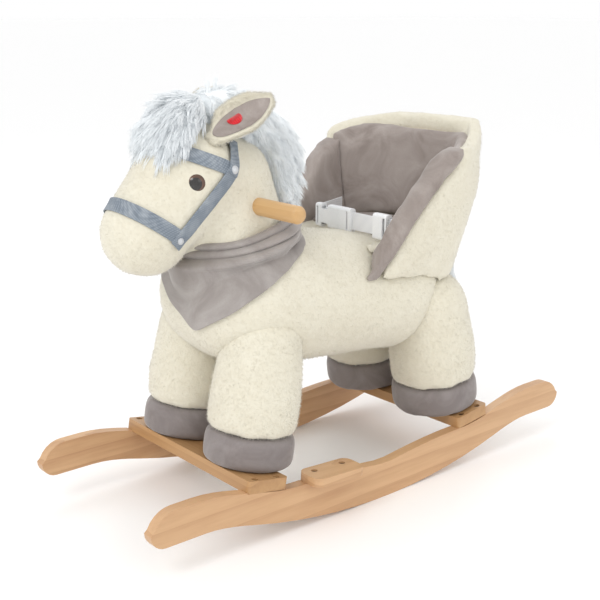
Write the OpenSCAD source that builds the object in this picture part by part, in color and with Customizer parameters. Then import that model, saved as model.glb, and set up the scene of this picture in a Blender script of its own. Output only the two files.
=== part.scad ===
// Plush rocking horse with a bucket seat, on a wooden rocker frame, for a small child.
// +X is the horse's left side, -Y is the way it looks and +Z is up, in millimetres.
// The origin is on the floor, midway between the rockers and midway along them.

/* [Rockers] */
// Length of a rocker from tip to tip
rocker_l = 750; // [720:1:780]
// Width over the outer faces of the two rockers
track_w = 280; // [276:1:290]
// Thickness of the rocker boards
rocker_t = 15; // [12:1:18]
// Radius of the rolling edge
roll_r = 860; // [820:10:900]
// Depth of a rocker at its middle
rocker_depth = 49; // [46:1:52]
// Height of the tip's underside above the floor
tip_lift = 43; // [40:1:46]

/* [Crossboards and footrests] */
// Width of a crossboard, along the horse
board_w = 62.5; // [58:0.5:66]
// Thickness of a crossboard
board_t = 16; // [14:1:18]
// Length of a footrest, along the horse
footrest_l = 84; // [76:1:86]
// Width of a footrest, from the rocker outwards
footrest_w = 41; // [38:1:44]
// Thickness of a footrest
footrest_t = 12; // [10:1:14]

/* [Inner wooden frame] */
// Side of the square posts inside the legs
post_s = 28; // [24:1:32]
// Thickness of the plywood spine board
spine_t = 12; // [9:1:12]
// Thickness of the plywood board inside the backrest
back_t = 8; // [6:1:9]

/* [Handle] */
// Diameter of the handle dowel
handle_d = 22; // [20:1:24]
// Length of the handle
handle_l = 286; // [270:1:300]

/* [Plush body] */
// Half of the body's width
body_half_w = 114; // [110:1:118]
// Radius of the front legs
front_leg_r = 59; // [56:1:62]
// Radius of the rear legs
rear_leg_r = 63; // [60:1:66]
// Height of the velvet hooves
hoof_h = 43; // [38:1:48]

/* [Seat tub] */
// Half of the tub's outer width at its rim
tub_half_w = 153; // [148:1:156]
// Height of the backrest's rim above the floor
tub_top = 492; // [480:1:496]
// Thickness of the velvet lining panels
lining_t = 14; // [12:1:16]

/* [Belt] */
// Width of the belt webbing
belt_w = 25; // [20:1:26]
// Travel of the buckle's plug out of its socket
plug_travel = 24; // [20:1:24]

/* [Ears] */
// Length of an ear
ear_l = 102; // [96:1:108]
// Diameter of the red sound button in an ear
button_d = 22; // [20:1:24]

/* [Hidden] */

$fn = 64;
gap = 0.4;            // running gap between soft pieces
soft_fn = 24;         // facets of the balls that the plush shapes are drawn round
left = 1;
right = -1;

// Colours
pine = "#d9b27c";
plywood = "#cfa873";
cream = "#ece6d6";
snow = "#f2f4f5";
velvet = "#a39c99";
strap_grey = "#8390a0";
white_plastic = "#eeeef0";
metal = "#c9ccd0";

// ---------- Rocker outline, in the Y-Z plane ----------
flat_half = 17.5;     // half of the first flat on the rolling edge
roll_step = 35;       // length of one flat on the rolling edge
roll_steps = 6;
lift_end = 300;       // where the underside levels out towards the tip
lower_tip_r = 20;
upper_tip_r = 35;
arch_end = 150;       // where the top edge starts to climb
arch_rise = 11.5;
climb_end = 310;
climb_top = 87;

function rolled(y) = roll_r - sqrt(roll_r * roll_r - y * y);
function smooth(t) = t * t * (3 - 2 * t);
function underside(y) = rolled(y) - rolled(flat_half);
roll_end = flat_half + roll_step * roll_steps;
roll_slope = roll_end / sqrt(roll_r * roll_r - roll_end * roll_end);
function lift(t) = let (a = underside(roll_end), m = roll_slope * (lift_end - roll_end))
    a * (1 - smooth(t)) + m * t * (1 - t) * (1 - t) + tip_lift * smooth(t);
function top_edge(y) = y < arch_end
    ? rocker_depth + arch_rise * sin(90 * y / arch_end)
    : rocker_depth + arch_rise
      + (climb_top - rocker_depth - arch_rise) * smooth(min(1, (y - arch_end) / (climb_end - arch_end)));

tip_y = rocker_l / 2;
half_outline = concat(
    [for (i = [0:roll_steps]) [flat_half + i * roll_step, underside(flat_half + i * roll_step)]],
    [for (i = [1:5]) [roll_end + (lift_end - roll_end) * i / 5, lift(i / 5)]],
    [for (a = [-90:15:0]) [tip_y - lower_tip_r + lower_tip_r * cos(a), tip_lift + lower_tip_r + lower_tip_r * sin(a)]],
    [for (a = [25:13:90]) [tip_y - upper_tip_r + upper_tip_r * cos(a) - 1, climb_top - upper_tip_r + upper_tip_r * sin(a)]],
    [for (y = [climb_end:-16:arch_end]) [y, top_edge(y)]],
    [for (y = [130:-20:10]) [y, top_edge(y)]]);
last = len(half_outline) - 1;
rocker_outline = concat(half_outline, [for (i = [last:-1:0]) [-half_outline[i][0], half_outline[i][1]]]);

// ---------- Where the boards and legs stand ----------
front_tilt = -10.2;   // turn about X, front edge up
rear_tilt = 8;        // turn about X, rear edge up
front_top = [0, -202.7, 84];
rear_top = [0, 174.7, 80.4];
front_leg_x = 70;
rear_leg_x = 73;
front_set = 19;       // hooves stand behind the middle of the front board
rear_set = -8;        // and in front of the middle of the rear board
post_x = 60;
front_post_y = front_set;
rear_post_y = rear_set;
screw_r = 2.5;
screw_head_r = 4.5;
bolt_r = 4;
bolt_head_r = 8;
screw_y = 17;         // screws sit this far from the middle line of a board
screw_x = track_w / 2 - rocker_t / 2;

footrest_y = -99;
footrest_z = 69.5;
footrest_tilt = -3.2;
footrest_inner = track_w / 2 - rocker_t - 5;

module at_front() { translate(front_top) rotate([front_tilt, 0, 0]) children(); }
module at_rear() { translate(rear_top) rotate([rear_tilt, 0, 0]) children(); }
module at_footrest(side) {
    translate([side * (footrest_inner + footrest_w / 2), footrest_y, footrest_z])
        rotate([footrest_tilt, 0, 0]) children();
}

module board_solid() { translate([-track_w / 2, -board_w / 2, -board_t]) cube([track_w, board_w, board_t]); }
module board_rounded() {
    corner = 5;
    translate([0, 0, -board_t]) linear_extrude(board_t)
        union() {
            square([track_w - 2 * corner, board_w], center = true);
            square([track_w, board_w - 2 * corner], center = true);
            for (x = [-1, 1], y = [-1, 1])
                translate([x * (track_w / 2 - corner), y * (board_w / 2 - corner)]) circle(corner);
        }
}
module footrest_plate() {
    corner = 12;
    translate([0, 0, -footrest_t]) linear_extrude(footrest_t)
        union() {
            square([footrest_w - 2 * corner, footrest_l], center = true);
            square([footrest_w, footrest_l - 2 * corner], center = true);
            for (x = [-1, 1], y = [-1, 1])
                translate([x * (footrest_w / 2 - corner), y * (footrest_l / 2 - corner)]) circle(corner);
        }
}
module footrest_space() {
    translate([-footrest_w / 2 - 1, -footrest_l / 2 - 0.5, -footrest_t]) cube([footrest_w + 2, footrest_l + 1, 30]);
}

// Two screws stand at each end of a crossboard
module board_screws(r, from, to) {
    for (x = [-screw_x, screw_x], y = [-screw_y, screw_y])
        translate([x, y, from]) cylinder(r = r, h = to - from);
}
module footrest_screw_set(side, r, from, to) {
    x = side * (track_w / 2 - rocker_t / 2 - footrest_inner - footrest_w / 2);
    for (y = [-24, 24]) translate([x, y, from]) cylinder(r = r, h = to - from);
}
screw_len = 30;
screw_sink = 2.5;     // screw heads sit this far below the wood

module rocker(side) {
    x = side == left ? track_w / 2 - rocker_t : -track_w / 2;
    color(pine) difference() {
        translate([x, 0, 0]) rotate([90, 0, 90]) linear_extrude(rocker_t) polygon(rocker_outline);
        at_front() translate([-track_w / 2 - 1, -board_w / 2, -board_t]) cube([track_w + 2, board_w, 40]);
        at_rear() translate([-track_w / 2 - 1, -board_w / 2, -board_t]) cube([track_w + 2, board_w, 40]);
        at_footrest(side) footrest_space();
        at_front() board_screws(screw_r, -screw_len, 1);
        at_rear() board_screws(screw_r, -screw_len, 1);
        at_footrest(side) footrest_screw_set(side, screw_r, -screw_len, 1);
    }
}

module crossboard() {
    difference() {
        board_rounded();
        board_screws(screw_r, -board_t - 1, 1);
        board_screws(screw_head_r, -screw_sink - 3, 1);
        children();
    }
}
// Bolt holes up through a crossboard into the leg posts
module bolt_holes(y, r, from, to) {
    for (x = [-post_x, post_x]) translate([x, y, from]) cylinder(r = r, h = to - from);
}
module front_crossboard() {
    color(pine) at_front() crossboard() {
        bolt_holes(front_post_y, bolt_r, -board_t - 1, 1);
        bolt_holes(front_post_y, bolt_head_r + 0.5, -board_t - 1, -board_t + 6);
    }
}
module rear_crossboard() {
    color(pine) at_rear() crossboard() {
        bolt_holes(rear_post_y, bolt_r, -board_t - 1, 1);
        bolt_holes(rear_post_y, bolt_head_r + 0.5, -board_t - 1, -board_t + 6);
    }
}
module footrest(side) {
    color(pine) at_footrest(side) difference() {
        footrest_plate();
        footrest_screw_set(side, screw_r, -footrest_t - 1, 1);
        footrest_screw_set(side, screw_head_r, -screw_sink - 3, 1);
    }
}

module screw(len, r, head_r, head_h) {
    union() {
        translate([0, 0, -len]) cylinder(r = r, h = len);
        difference() {
            translate([0, 0, -head_h]) cylinder(r = head_r - 0.2, h = head_h);
            translate([0, 0, -1]) linear_extrude(2) for (a = [0, 90]) rotate(a) square([4.5, 0.9], center = true);
        }
    }
}
module crossboard_screws() {
    color(metal) {
        for (x = [-screw_x, screw_x], y = [-screw_y, screw_y]) {
            at_front() translate([x, y, -screw_sink]) screw(screw_len - screw_sink, screw_r, screw_head_r, 3);
            at_rear() translate([x, y, -screw_sink]) screw(screw_len - screw_sink, screw_r, screw_head_r, 3);
        }
    }
}
module footrest_screws() {
    color(metal) for (side = [left, right], y = [-24, 24])
        at_footrest(side)
            translate([side * (track_w / 2 - rocker_t / 2 - footrest_inner - footrest_w / 2), y, -screw_sink])
                screw(screw_len - screw_sink, screw_r, screw_head_r, 3);
}
bolt_len = 60;
module leg_bolt() {
    difference() {
        union() {
            translate([0, 0, -board_t]) cylinder(r = bolt_r, h = bolt_len);
            translate([0, 0, -board_t + 0.5]) cylinder(r = bolt_head_r, h = 5.5);
        }
        translate([0, 0, -board_t - 0.1]) cylinder(d = 6.9, h = 3.5, $fn = 6);
    }
}
module leg_bolts() {
    color(metal) for (x = [-post_x, post_x]) {
        at_front() translate([x, front_post_y, 0]) leg_bolt();
        at_rear() translate([x, rear_post_y, 0]) leg_bolt();
    }
}

// ---------- Inner wooden frame ----------
spine_z = 222;        // underside of the spine board
spine_half = 75;
spine_front = -176;
spine_rear = 172;
spine_l = spine_rear - spine_front;
neck_foot = [0, -100, spine_z + spine_t];
neck_tilt = 16.6;
neck_l = 212;
neck_w = 34;
neck_d = 40;
handle_at = [0, -152, 408];
back_tilt = -9.5;
back_foot = [0, spine_rear + back_t / 2, spine_z];
back_half = 58;
back_l = 250;

module leg_post(y) {
    for (x = [-post_x, post_x])
        translate([x - post_s / 2, y - post_s / 2, 0]) cube([post_s, post_s, 170]);
}
module leg_posts() {
    color(pine) difference() {
        union() {
            at_front() leg_post(front_post_y);
            at_rear() leg_post(rear_post_y);
        }
        translate([-200, -300, spine_z]) cube([400, 600, 200]);
        at_front() bolt_holes(front_post_y, bolt_r, -1, bolt_len - board_t);
        at_rear() bolt_holes(rear_post_y, bolt_r, -1, bolt_len - board_t);
        frame_screw_holes();
    }
}
module spine_solid() {
    translate([-spine_half, spine_front, spine_z]) cube([2 * spine_half, spine_l, spine_t]);
}
module spine_board() {
    color(plywood) difference() {
        spine_solid();
        frame_screw_holes();
    }
}
module neck_solid() {
    translate(neck_foot) rotate([neck_tilt, 0, 0])
        difference() {
            translate([-neck_w / 2, -neck_d / 2, -20]) cube([neck_w, neck_d, neck_l + 20]);
            rotate([-neck_tilt, 0, 0]) translate([-50, -100, -60]) cube([100, 200, 60]);
        }
}
module neck_post() {
    color(pine) difference() {
        neck_solid();
        translate(handle_at) rotate([0, 90, 0]) cylinder(d = handle_d, h = 100, center = true);
        frame_screw_holes();
    }
}
module back_solid() {
    translate(back_foot) rotate([back_tilt, 0, 0])
        translate([-back_half, -back_t / 2, 0]) cube([2 * back_half, back_t, back_l]);
}
module back_board() {
    color(plywood) difference() {
        back_solid();
        translate([-100, 0, 0]) cube([200, spine_rear, 400]);
        frame_screw_holes();
    }
}
// Screws that hold the inner frame together, as [place, turn]
frame_screw_places = concat(
    [for (x = [-post_x, post_x]) [[x, -158, spine_z + spine_t], [0, 0, 0]]],
    [for (x = [-post_x, post_x]) [[x, 146, spine_z + spine_t], [0, 0, 0]]],
    [for (y = [-108, -92]) [[0, y, spine_z], [180, 0, 0]]],
    [for (x = [-40, 0, 40]) [[x, spine_rear + back_t + 1.7, spine_z + spine_t / 2], [-90, 0, 0]]]);
module frame_screw_holes() {
    for (p = frame_screw_places)
        translate(p[0]) rotate(p[1]) translate([0, 0, -34]) cylinder(r = 2, h = 36);
}
module screw_space(grow) { translate([0, 0, -10]) cylinder(r = 4.2 + grow, h = 12.5 + grow); }
module frame_screws() {
    color(metal) for (p = frame_screw_places)
        translate(p[0]) rotate(p[1]) union() {
            translate([0, 0, -34]) cylinder(r = 2, h = 34);
            translate([0, 0, 0]) cylinder(r = 4, h = 2);
        }
}
module handle() {
    r = handle_d / 2;
    dome = 7;
    color("#e6b87a") translate(handle_at) rotate([0, 90, 0]) union() {
        cylinder(r = r, h = handle_l - 2 * dome, center = true);
        for (side = [0, 180]) rotate([side, 0, 0]) translate([0, 0, handle_l / 2 - dome])
            rotate_extrude() intersection() {
                translate([0, -(r * r - dome * dome) / (2 * dome)]) circle((r * r + dome * dome) / (2 * dome));
                square([r, dome]);
            }
    }
}

// ---------- Plush shapes ----------
chest = [body_half_w - 86, -144, 280];
chest_r = 86;
rump = [body_half_w - 80, 100, 252];
rump_r = 80;
muzzle = [0, -285, 385];
muzzle_r = 58;
skull = [0, -212, 450];
skull_r = 66;

module ball(at, r) { translate(at) sphere(r, $fn = soft_fn); }
module pair(at, r) {
    ball(at, r);
    ball([-at[0], at[1], at[2]], r);
}
module torso_shape(grow = 0) {
    hull() {
        pair(chest, chest_r + grow);
        pair(rump, rump_r + grow);
    }
}
module head_shape(grow = 0) {
    hull() {
        ball(muzzle, muzzle_r + grow);
        ball(skull, skull_r + grow);
    }
}
module neck_shape(grow = 0) {
    hull() {
        ball([0, -150, 438], 52 + grow);
        ball([0, -178, 450], 52 + grow);
        ball([0, -166, 335], 68 + grow);
        ball([0, -136, 335], 68 + grow);
    }
}

// A plush leg stands along the board's normal; its top is a dome inside the body
leg_dome = 150;
module leg_profile(r, grow) {
    top_r = r * 0.9;
    intersection() {
        union() {
            polygon([[0, hoof_h - grow], [r - 2 + grow, hoof_h - grow], [r + grow, hoof_h + 40],
                [top_r + grow, leg_dome], [0, leg_dome]]);
            translate([0, leg_dome]) circle(top_r + grow);
        }
        translate([0, hoof_h - grow]) square([100, 200]);
    }
}
module leg_shape(r, grow = 0, facets = 64) { rotate_extrude($fn = facets) leg_profile(r, grow); }
module leg(x, y, r) {
    color(cream) difference() {
        translate([x, y, 0]) leg_shape(r);
        leg_post_space(x, y);
    }
}
module leg_post_space(x, y) {
    translate([(x > 0 ? post_x : -post_x) - post_s / 2, y - post_s / 2, -1]) cube([post_s, post_s, 171]);
}
module frame_in_haunch() {
    spine_solid();
    translate(back_foot) rotate([back_tilt, 0, 0])
        translate([-back_half - gap, -back_t / 2 - gap, -gap])
            cube([2 * (back_half + gap), back_t + 2 * gap, back_l + 2 * gap]);
    for (p = frame_screw_places) translate(p[0]) rotate(p[1]) screw_space(0);
}
module front_leg(side) {
    difference() {
        at_front() leg(side * front_leg_x, front_set, front_leg_r);
        color(cream) spine_solid();
    }
}
module rear_leg(side) {
    difference() {
        at_rear() leg(side * rear_leg_x, rear_set, rear_leg_r);
        color(cream) frame_in_haunch();
    }
}
module hoof(x, y, r) {
    lip = 7;
    color(velvet) difference() {
        translate([x, y, 0]) rotate_extrude() union() {
            polygon([[0, 0], [r - lip, 0], [r, lip], [r, hoof_h - 10], [r - 2, hoof_h], [0, hoof_h]]);
            intersection() {
                translate([r - lip, lip]) circle(lip);
                square([r, lip]);
            }
        }
        leg_post_space(x, y);
    }
}
// Everything that takes room inside the stuffing
module wood_inside(grow = 0) {
    translate([-spine_half - grow, spine_front - grow, spine_z - grow])
        cube([2 * (spine_half + grow), spine_l + 2 * grow, spine_t + 2 * grow]);
    translate(neck_foot) rotate([neck_tilt, 0, 0])
        translate([-neck_w / 2 - grow, -neck_d / 2 - grow, -6])
            cube([neck_w + 2 * grow, neck_d + 2 * grow, neck_l + 6 + grow]);
    translate(back_foot) rotate([back_tilt, 0, 0])
        translate([-back_half - grow, -back_t / 2 - grow, -grow])
            cube([2 * (back_half + grow), back_t + 2 * grow, back_l + 2 * grow]);
    for (p = frame_screw_places) translate(p[0]) rotate(p[1]) screw_space(grow);
    at_front() leg_post(front_post_y);
    at_rear() leg_post(rear_post_y);
}
module legs_inside(grow) {
    for (side = [left, right]) {
        at_front() hull() translate([side * front_leg_x, front_set, 0]) leg_shape(front_leg_r, grow, 48);
        at_rear() hull() translate([side * rear_leg_x, rear_set, 0]) leg_shape(rear_leg_r, grow, 48);
    }
}
// Padding that rounds the shoulders and the haunches out
shoulder = [60, -130, 270];
shoulder_r = 52;
haunch = [64, 108, 248];
haunch_r = 50;
barrel = [body_half_w - 84, -20, 266];
barrel_r = 83;
module torso() {
    color(cream) difference() {
        union() {
            torso_shape();
            hull() pair(shoulder, shoulder_r);
            hull() pair(haunch, haunch_r);
            hull() pair(barrel, barrel_r);
        }
        legs_inside(gap);
        wood_inside(gap);
    }
}
module body_clear(grow) {
    torso_shape(grow);
    hull() pair(shoulder, shoulder_r + grow);
    hull() pair(haunch, haunch_r + grow);
}
cheek = [14, -262, 396];
cheek_r = 40;
module head() {
    color(cream) difference() {
        union() {
            head_shape();
            neck_shape();
            hull() pair(cheek, cheek_r);
        }
        torso_shape(gap);
        wood_inside(gap);
        translate(handle_at) rotate([0, 90, 0]) cylinder(d = handle_d + gap, h = 200, center = true);
        bandana_collar(gap);
        for (side = [left, right]) at_eye(side) translate([0, 0, -26]) cylinder(r = 10, h = 17);
        for (side = [left, right]) at_eye(side) translate([0, 0, -26]) cylinder(r = 2.7, h = 27);
        for (side = [left, right]) at_eye(side) cylinder(r = 13, h = 10);
    }
}

// ---------- Eyes ----------
eye_r = 12.5;
eye_turn = [0, 93, -29.5];
module at_eye(side) {
    mirror([side == left ? 0 : 1, 0, 0]) translate(skull) rotate([0, 0, eye_turn[2]]) rotate([0, eye_turn[1], 0])
        translate([0, 0, skull_r]) children();
}
module eyes() {
    color("#1c120d") for (side = [left, right]) at_eye(side) union() {
        rotate_extrude() intersection() {
            translate([0, -8]) circle(15);
            translate([0, 0.2]) square([eye_r, 10]);
        }
        translate([0, 0, -20]) cylinder(r = 2.4, h = 21);
        translate([0, 0, -14]) cylinder(r = 9, h = 1.6);
    }
}

// ---------- Ears and the sound modules inside them ----------
ear_base = [46, -212, 488];
ear_turn = [32.7, 33.6, 9.9];
ear_t = 17;
module_at = [-4, 42, 0];
module_r = 16;
module_h = 11;
module at_ear(side) {
    mirror([side == left ? 0 : 1, 0, 0]) translate(ear_base) rotate(ear_turn) children();
}
module ear_leaf(grow, t) {
    hull() {
        translate([0, 10, 0]) cylinder(r = 14 + grow, h = t, $fn = soft_fn);
        translate([0, ear_l * 0.5, 0]) cylinder(r = 27 + grow, h = t, $fn = soft_fn);
        translate([-2, ear_l - 16, 0]) cylinder(r = 14 + grow, h = t, $fn = soft_fn);
    }
}
lining_sheet = 3;
module ear(side) {
    color(cream) at_ear(side) difference() {
        translate([0, 0, -ear_t / 2]) ear_leaf(0, ear_t);
        translate([0, 0, ear_t / 2 - lining_sheet]) ear_leaf(-5, 10);
        translate([module_at[0], module_at[1], ear_t / 2 - lining_sheet - module_h])
            cylinder(r = module_r + 0.2, h = module_h + 1);
        ear_seat();
    }
}
// Where the ear meets the head, the ear's foot is cut to the head's round
module ear_seat() {
    inverse_turn() translate(-ear_base) translate(skull) sphere(skull_r + 1, $fn = soft_fn);
}
module inverse_turn() {
    rotate([-ear_turn[0], 0, 0]) rotate([0, -ear_turn[1], 0]) rotate([0, 0, -ear_turn[2]]) children();
}
module ear_lining(side) {
    color(velvet) at_ear(side) difference() {
        translate([0, 0, ear_t / 2 - lining_sheet]) ear_leaf(-5.3, lining_sheet);
        translate([module_at[0], module_at[1], 0]) cylinder(d = button_d + 1, h = 30);
        ear_seat();
    }
}
// Heights inside a sound module, from its floor
wall = 1.2;
speaker_z = wall + 0.1;
speaker_h = 0.8;
cell_z = speaker_z + speaker_h + 0.1;
cell_h = 3;
cell_r = 5.7;
pcb_z = cell_z + cell_h + 0.1;
pcb_h = 1;
cover_h = 1.2;
button_stroke = 1.5;
module at_module(side) {
    at_ear(side) translate([module_at[0], module_at[1], ear_t / 2 - lining_sheet - module_h]) children();
}
module sound_housings() {
    color(white_plastic) for (side = [left, right]) at_module(side) difference() {
        cylinder(r = module_r, h = module_h - cover_h);
        translate([0, 0, wall]) cylinder(r = module_r - wall, h = module_h);
    }
}
module sound_covers() {
    color(white_plastic) for (side = [left, right]) at_module(side) translate([0, 0, module_h - cover_h])
        difference() {
            cylinder(r = module_r, h = cover_h);
            translate([0, 0, -1]) cylinder(d = button_d + 0.6, h = 5);
        }
}
module sound_boards() {
    color("#3c7a4a") for (side = [left, right]) at_module(side) translate([0, 0, pcb_z])
        cylinder(r = module_r - wall - 0.2, h = pcb_h);
}
module sound_cells() {
    color(metal) for (side = [left, right], a = [0:120:240]) at_module(side)
        rotate(a) translate([6.9, 0, cell_z]) cylinder(r = cell_r, h = cell_h);
}
module sound_speakers() {
    color("#c8a24a") for (side = [left, right]) at_module(side) translate([0, 0, speaker_z])
        cylinder(r = 12, h = speaker_h);
}
module ear_button(side) {
    bottom = pcb_z + pcb_h + button_stroke + 0.4;
    color("#c8202c") at_module(side) union() {
        translate([0, 0, bottom]) cylinder(r = 9, h = module_h + 1 - bottom);
        translate([0, 0, module_h - cover_h - 0.2]) cylinder(d = button_d, h = cover_h + lining_sheet + 1);
    }
}

// ---------- Long-pile hair ----------
module hair_clear() {
    head_shape(gap);
    neck_shape(gap);
    hull() pair(cheek, cheek_r + gap);
    at_browband() band_ring(brow_r - 1, 4, 24, 360);
    at_crown() band_ring(crown_r - 1, 4, 24, 360);
    for (side = [left, right]) at_ear(side) translate([0, 0, -ear_t / 2 - gap]) ear_leaf(gap, ear_t + 2 * gap);
    torso_shape(gap);
    bandana_collar(gap);
}
module forelock() {
    color(snow) difference() {
        union() {
            hull() {
                pair([8, -206, 530], 24);
                pair([12, -228, 522], 26);
            }
            hull() {
                pair([12, -228, 522], 26);
                pair([22, -248, 500], 24);
            }
            hull() {
                pair([22, -248, 500], 24);
                pair([24, -266, 482], 12);
            }
        }
        hair_clear();
        translate([-100, -201, 400]) cube([200, 100, 300]);
    }
}
crest = [[-200, 526, 24], [-165, 528, 26], [-125, 516, 26], [-92, 494, 28], [-76, 462, 28], [-72, 430, 26], [-74, 404, 22]];
module mane() {
    color(snow) difference() {
        union() for (i = [0:len(crest) - 2]) hull() for (k = [i, i + 1])
            pair([8, crest[k][0], crest[k][1]], crest[k][2]);
        hair_clear();
        translate([-100, -500.5, 400]) cube([200, 300, 300]);
        translate([-100, -300, 300]) cube([200, 400, 82]);
    }
}
tail_line = [[226, 330, 14], [244, 300, 20], [253, 255, 23], [254, 210, 20], [250, 165, 12]];
module tail() {
    color(snow) difference() {
        union() for (i = [0:len(tail_line) - 2]) hull() for (k = [i, i + 1])
            pair([6, tail_line[k][0], tail_line[k][1]], tail_line[k][2]);
        tub_outer(gap);
        body_clear(gap);
        legs_inside(gap);
    }
}

// ---------- Bridle ----------
strap_w = 18;
strap_t = 2;
nose_r = muzzle_r + 4.2;
brow_r = skull_r + 0.4;
crown_r = skull_r + 0.4;
muzzle_turn = atan2(skull[2] - muzzle[2], skull[1] - muzzle[1]);
module band_ring(r, t, w, angle) {
    rotate_extrude(angle = angle) translate([r, -w / 2]) square([t, w]);
}
// The noseband lies square to the muzzle, tipped back a little at the jaw
module at_noseband() {
    translate(muzzle + [0, 6, 5]) rotate([muzzle_turn - 90 - 8, 0, 0]) children();
}
module noseband() { color(strap_grey) at_noseband() band_ring(nose_r, strap_t, strap_w, 360); }
module at_browband() { translate(skull + [0, 3, 12]) rotate([-27, 0, 0]) children(); }
module browband() { color(strap_grey) at_browband() rotate(183) band_ring(brow_r, strap_t, strap_w, 174); }
module at_crown() { translate(skull + [0, 14, -2]) rotate([67, 0, 0]) children(); }
module crown_straps() {
    color(strap_grey) for (side = [0, 1]) mirror([side, 0, 0])
        at_crown() rotate(17) band_ring(crown_r, strap_t, strap_w, 11);
}
cheek_low = [61, -262, 388];
cheek_high = [68.3, -203, 448];
module cheek_strap() {
    d = cheek_high - cheek_low;
    translate(cheek_low) rotate([0, 0, -asin(d[0] / norm(d))]) rotate([atan2(d[2], d[1]), 0, 0])
        translate([0, 0, -strap_w / 2]) cube([strap_t, norm(d), strap_w]);
}
module cheek_straps() {
    color(strap_grey) for (side = [0, 1]) mirror([side, 0, 0]) difference() {
        cheek_strap();
        at_noseband() band_ring(nose_r - 4, 10, strap_w + 0.4, 360);
        at_browband() band_ring(brow_r - 4, 10, strap_w + 0.4, 360);
        at_crown() band_ring(crown_r - 4, 10, strap_w + 0.4, 360);
    }
}
rivet_places = [[64.2, -270, 378], [69.4, -197, 458]];
module rivets() {
    color(metal) for (side = [0, 1], p = rivet_places) mirror([side, 0, 0])
        translate(p) rotate([0, 90, 0]) rotate_extrude() intersection() {
            translate([0, -3]) circle(6);
            translate([0, 0]) square([5, 5]);
        }
}

// ---------- Bandana ----------
collar_at = [0, -153, 357];
collar_r = 75;
collar_tube = 14;
function collar_point(a) = collar_at + [collar_r * cos(a), (collar_r + 3) * sin(a), 3 * sin(2 * a)];
module bandana_collar(grow = 0) {
    for (a = [0:24:336]) hull() {
        translate(collar_point(a)) sphere(collar_tube + grow, $fn = 16);
        translate(collar_point(a + 24)) sphere(collar_tube + grow, $fn = 16);
    }
}
module bandana() {
    color(velvet) difference() {
        union() {
            bandana_collar();
            intersection() {
                difference() {
                    torso_shape(5);
                    neck_shape(gap);
                }
                rotate([90, 0, 0]) translate([0, 0, 100]) linear_extrude(160)
                    polygon([[0, 254], [60, 280], [100, 330], [100, 370], [-100, 370], [-100, 330], [-60, 280]]);
            }
        }
        torso_shape(gap);
        head_shape(gap);
        hull() pair(cheek, cheek_r + gap);
        neck_shape(-8);
    }
}

// ---------- Seat tub ----------
tub_foot = 205;
seat_floor = 338;
tub_back = 240;
module tub_ring(z, half, back, corner) {
    for (x = [-1, 1]) {
        translate([x * (half - corner), back - corner, z]) cylinder(r = corner, h = 1, $fn = 48);
        translate([x * (half - 20), -40, z]) cylinder(r = 20, h = 1, $fn = 24);
    }
}
module tub_outer(grow = 0) {
    hull() {
        tub_ring(tub_foot, 92 + grow, 192 + grow, 70);
        tub_ring(tub_top - 1, tub_half_w + grow, tub_back + grow, 100);
    }
}
module tub_inner(grow = 0) {
    hull() {
        tub_ring(seat_floor, 92 + grow, 176 + grow, 66);
        tub_ring(tub_top + 20, 118 + grow, 209 + grow, 76);
    }
}
// Side view of the rim, from the wing's tip up to the backrest
rim_side = [[-24, 291], [0, 311], [22, 343], [44, 379], [67, 411], [88, 437], [108, 455],
    [130, 465], [165, 474], [205, 484], [240, tub_top]];
module above_rim(drop = 0) {
    rotate([90, 0, 90]) translate([0, -drop, -200]) linear_extrude(400)
        polygon(concat([[-400, 150], [-24 + drop, 150]], [for (p = rim_side) p + [drop * 0.8, 0]],
            [[400, tub_top], [400, 700], [-400, 700]]));
}
panel_split = 128;
band_t = 14;          // thickness of the velvet roll along a wing's edge
module behind(y) { translate([-200, y, 100]) cube([400, 300, 500]); }
module ahead(y) { translate([-200, y - 400, 100]) cube([400, 400, 500]); }
module tub_wall() {
    difference() {
        tub_outer();
        tub_inner();
        above_rim();
        body_clear(gap);
        legs_inside(gap);
        ahead(-26);
        translate([-200, -100, 150]) cube([400, 200, 64]);
    }
}
roll_inner = 84;      // the roll reaches in to this distance from the middle
module roll_zone(shrink = 0) {
    difference() {
        intersection() {
            above_rim(band_t - shrink);
            ahead(panel_split);
        }
        translate([-roll_inner - shrink, -400, 100]) cube([2 * (roll_inner + shrink), 800, 600]);
    }
}
module seat_shell() {
    color(cream) difference() {
        tub_wall();
        tub_inner(lining_t);
        roll_zone();
        wood_inside(gap);
        behind_rim_lip();
    }
}
module behind_rim_lip() { translate([-200, 100, tub_top - 0.5]) cube([400, 300, 100]); }
module lining() {
    difference() {
        tub_wall();
        difference() {
            tub_outer(50);
            tub_inner(lining_t - gap);
            roll_zone(gap);
        }
        wood_inside(gap);
    }
}
module backrest_panel() {
    color(velvet) intersection() {
        lining();
        behind(panel_split + 0.5);
        difference() {
            tub_inner(lining_t - gap);
            translate([-200, 100, tub_top - 14]) cube([400, 200, 100]);
        }
    }
}
module wing_panel(side) {
    color(velvet) intersection() {
        lining();
        ahead(panel_split);
        translate([side == left ? 0 : -200, -100, 100]) cube([200, 400, 500]);
    }
}
cushion_front = 64;
cushion_t = 7;
module cushion_space() {
    intersection() {
        tub_inner(-gap);
        translate([-200, cushion_front, seat_floor + gap]) cube([400, 300, cushion_t]);
    }
}
module seat_cushion() { color(cream) cushion_space(); }

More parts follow.
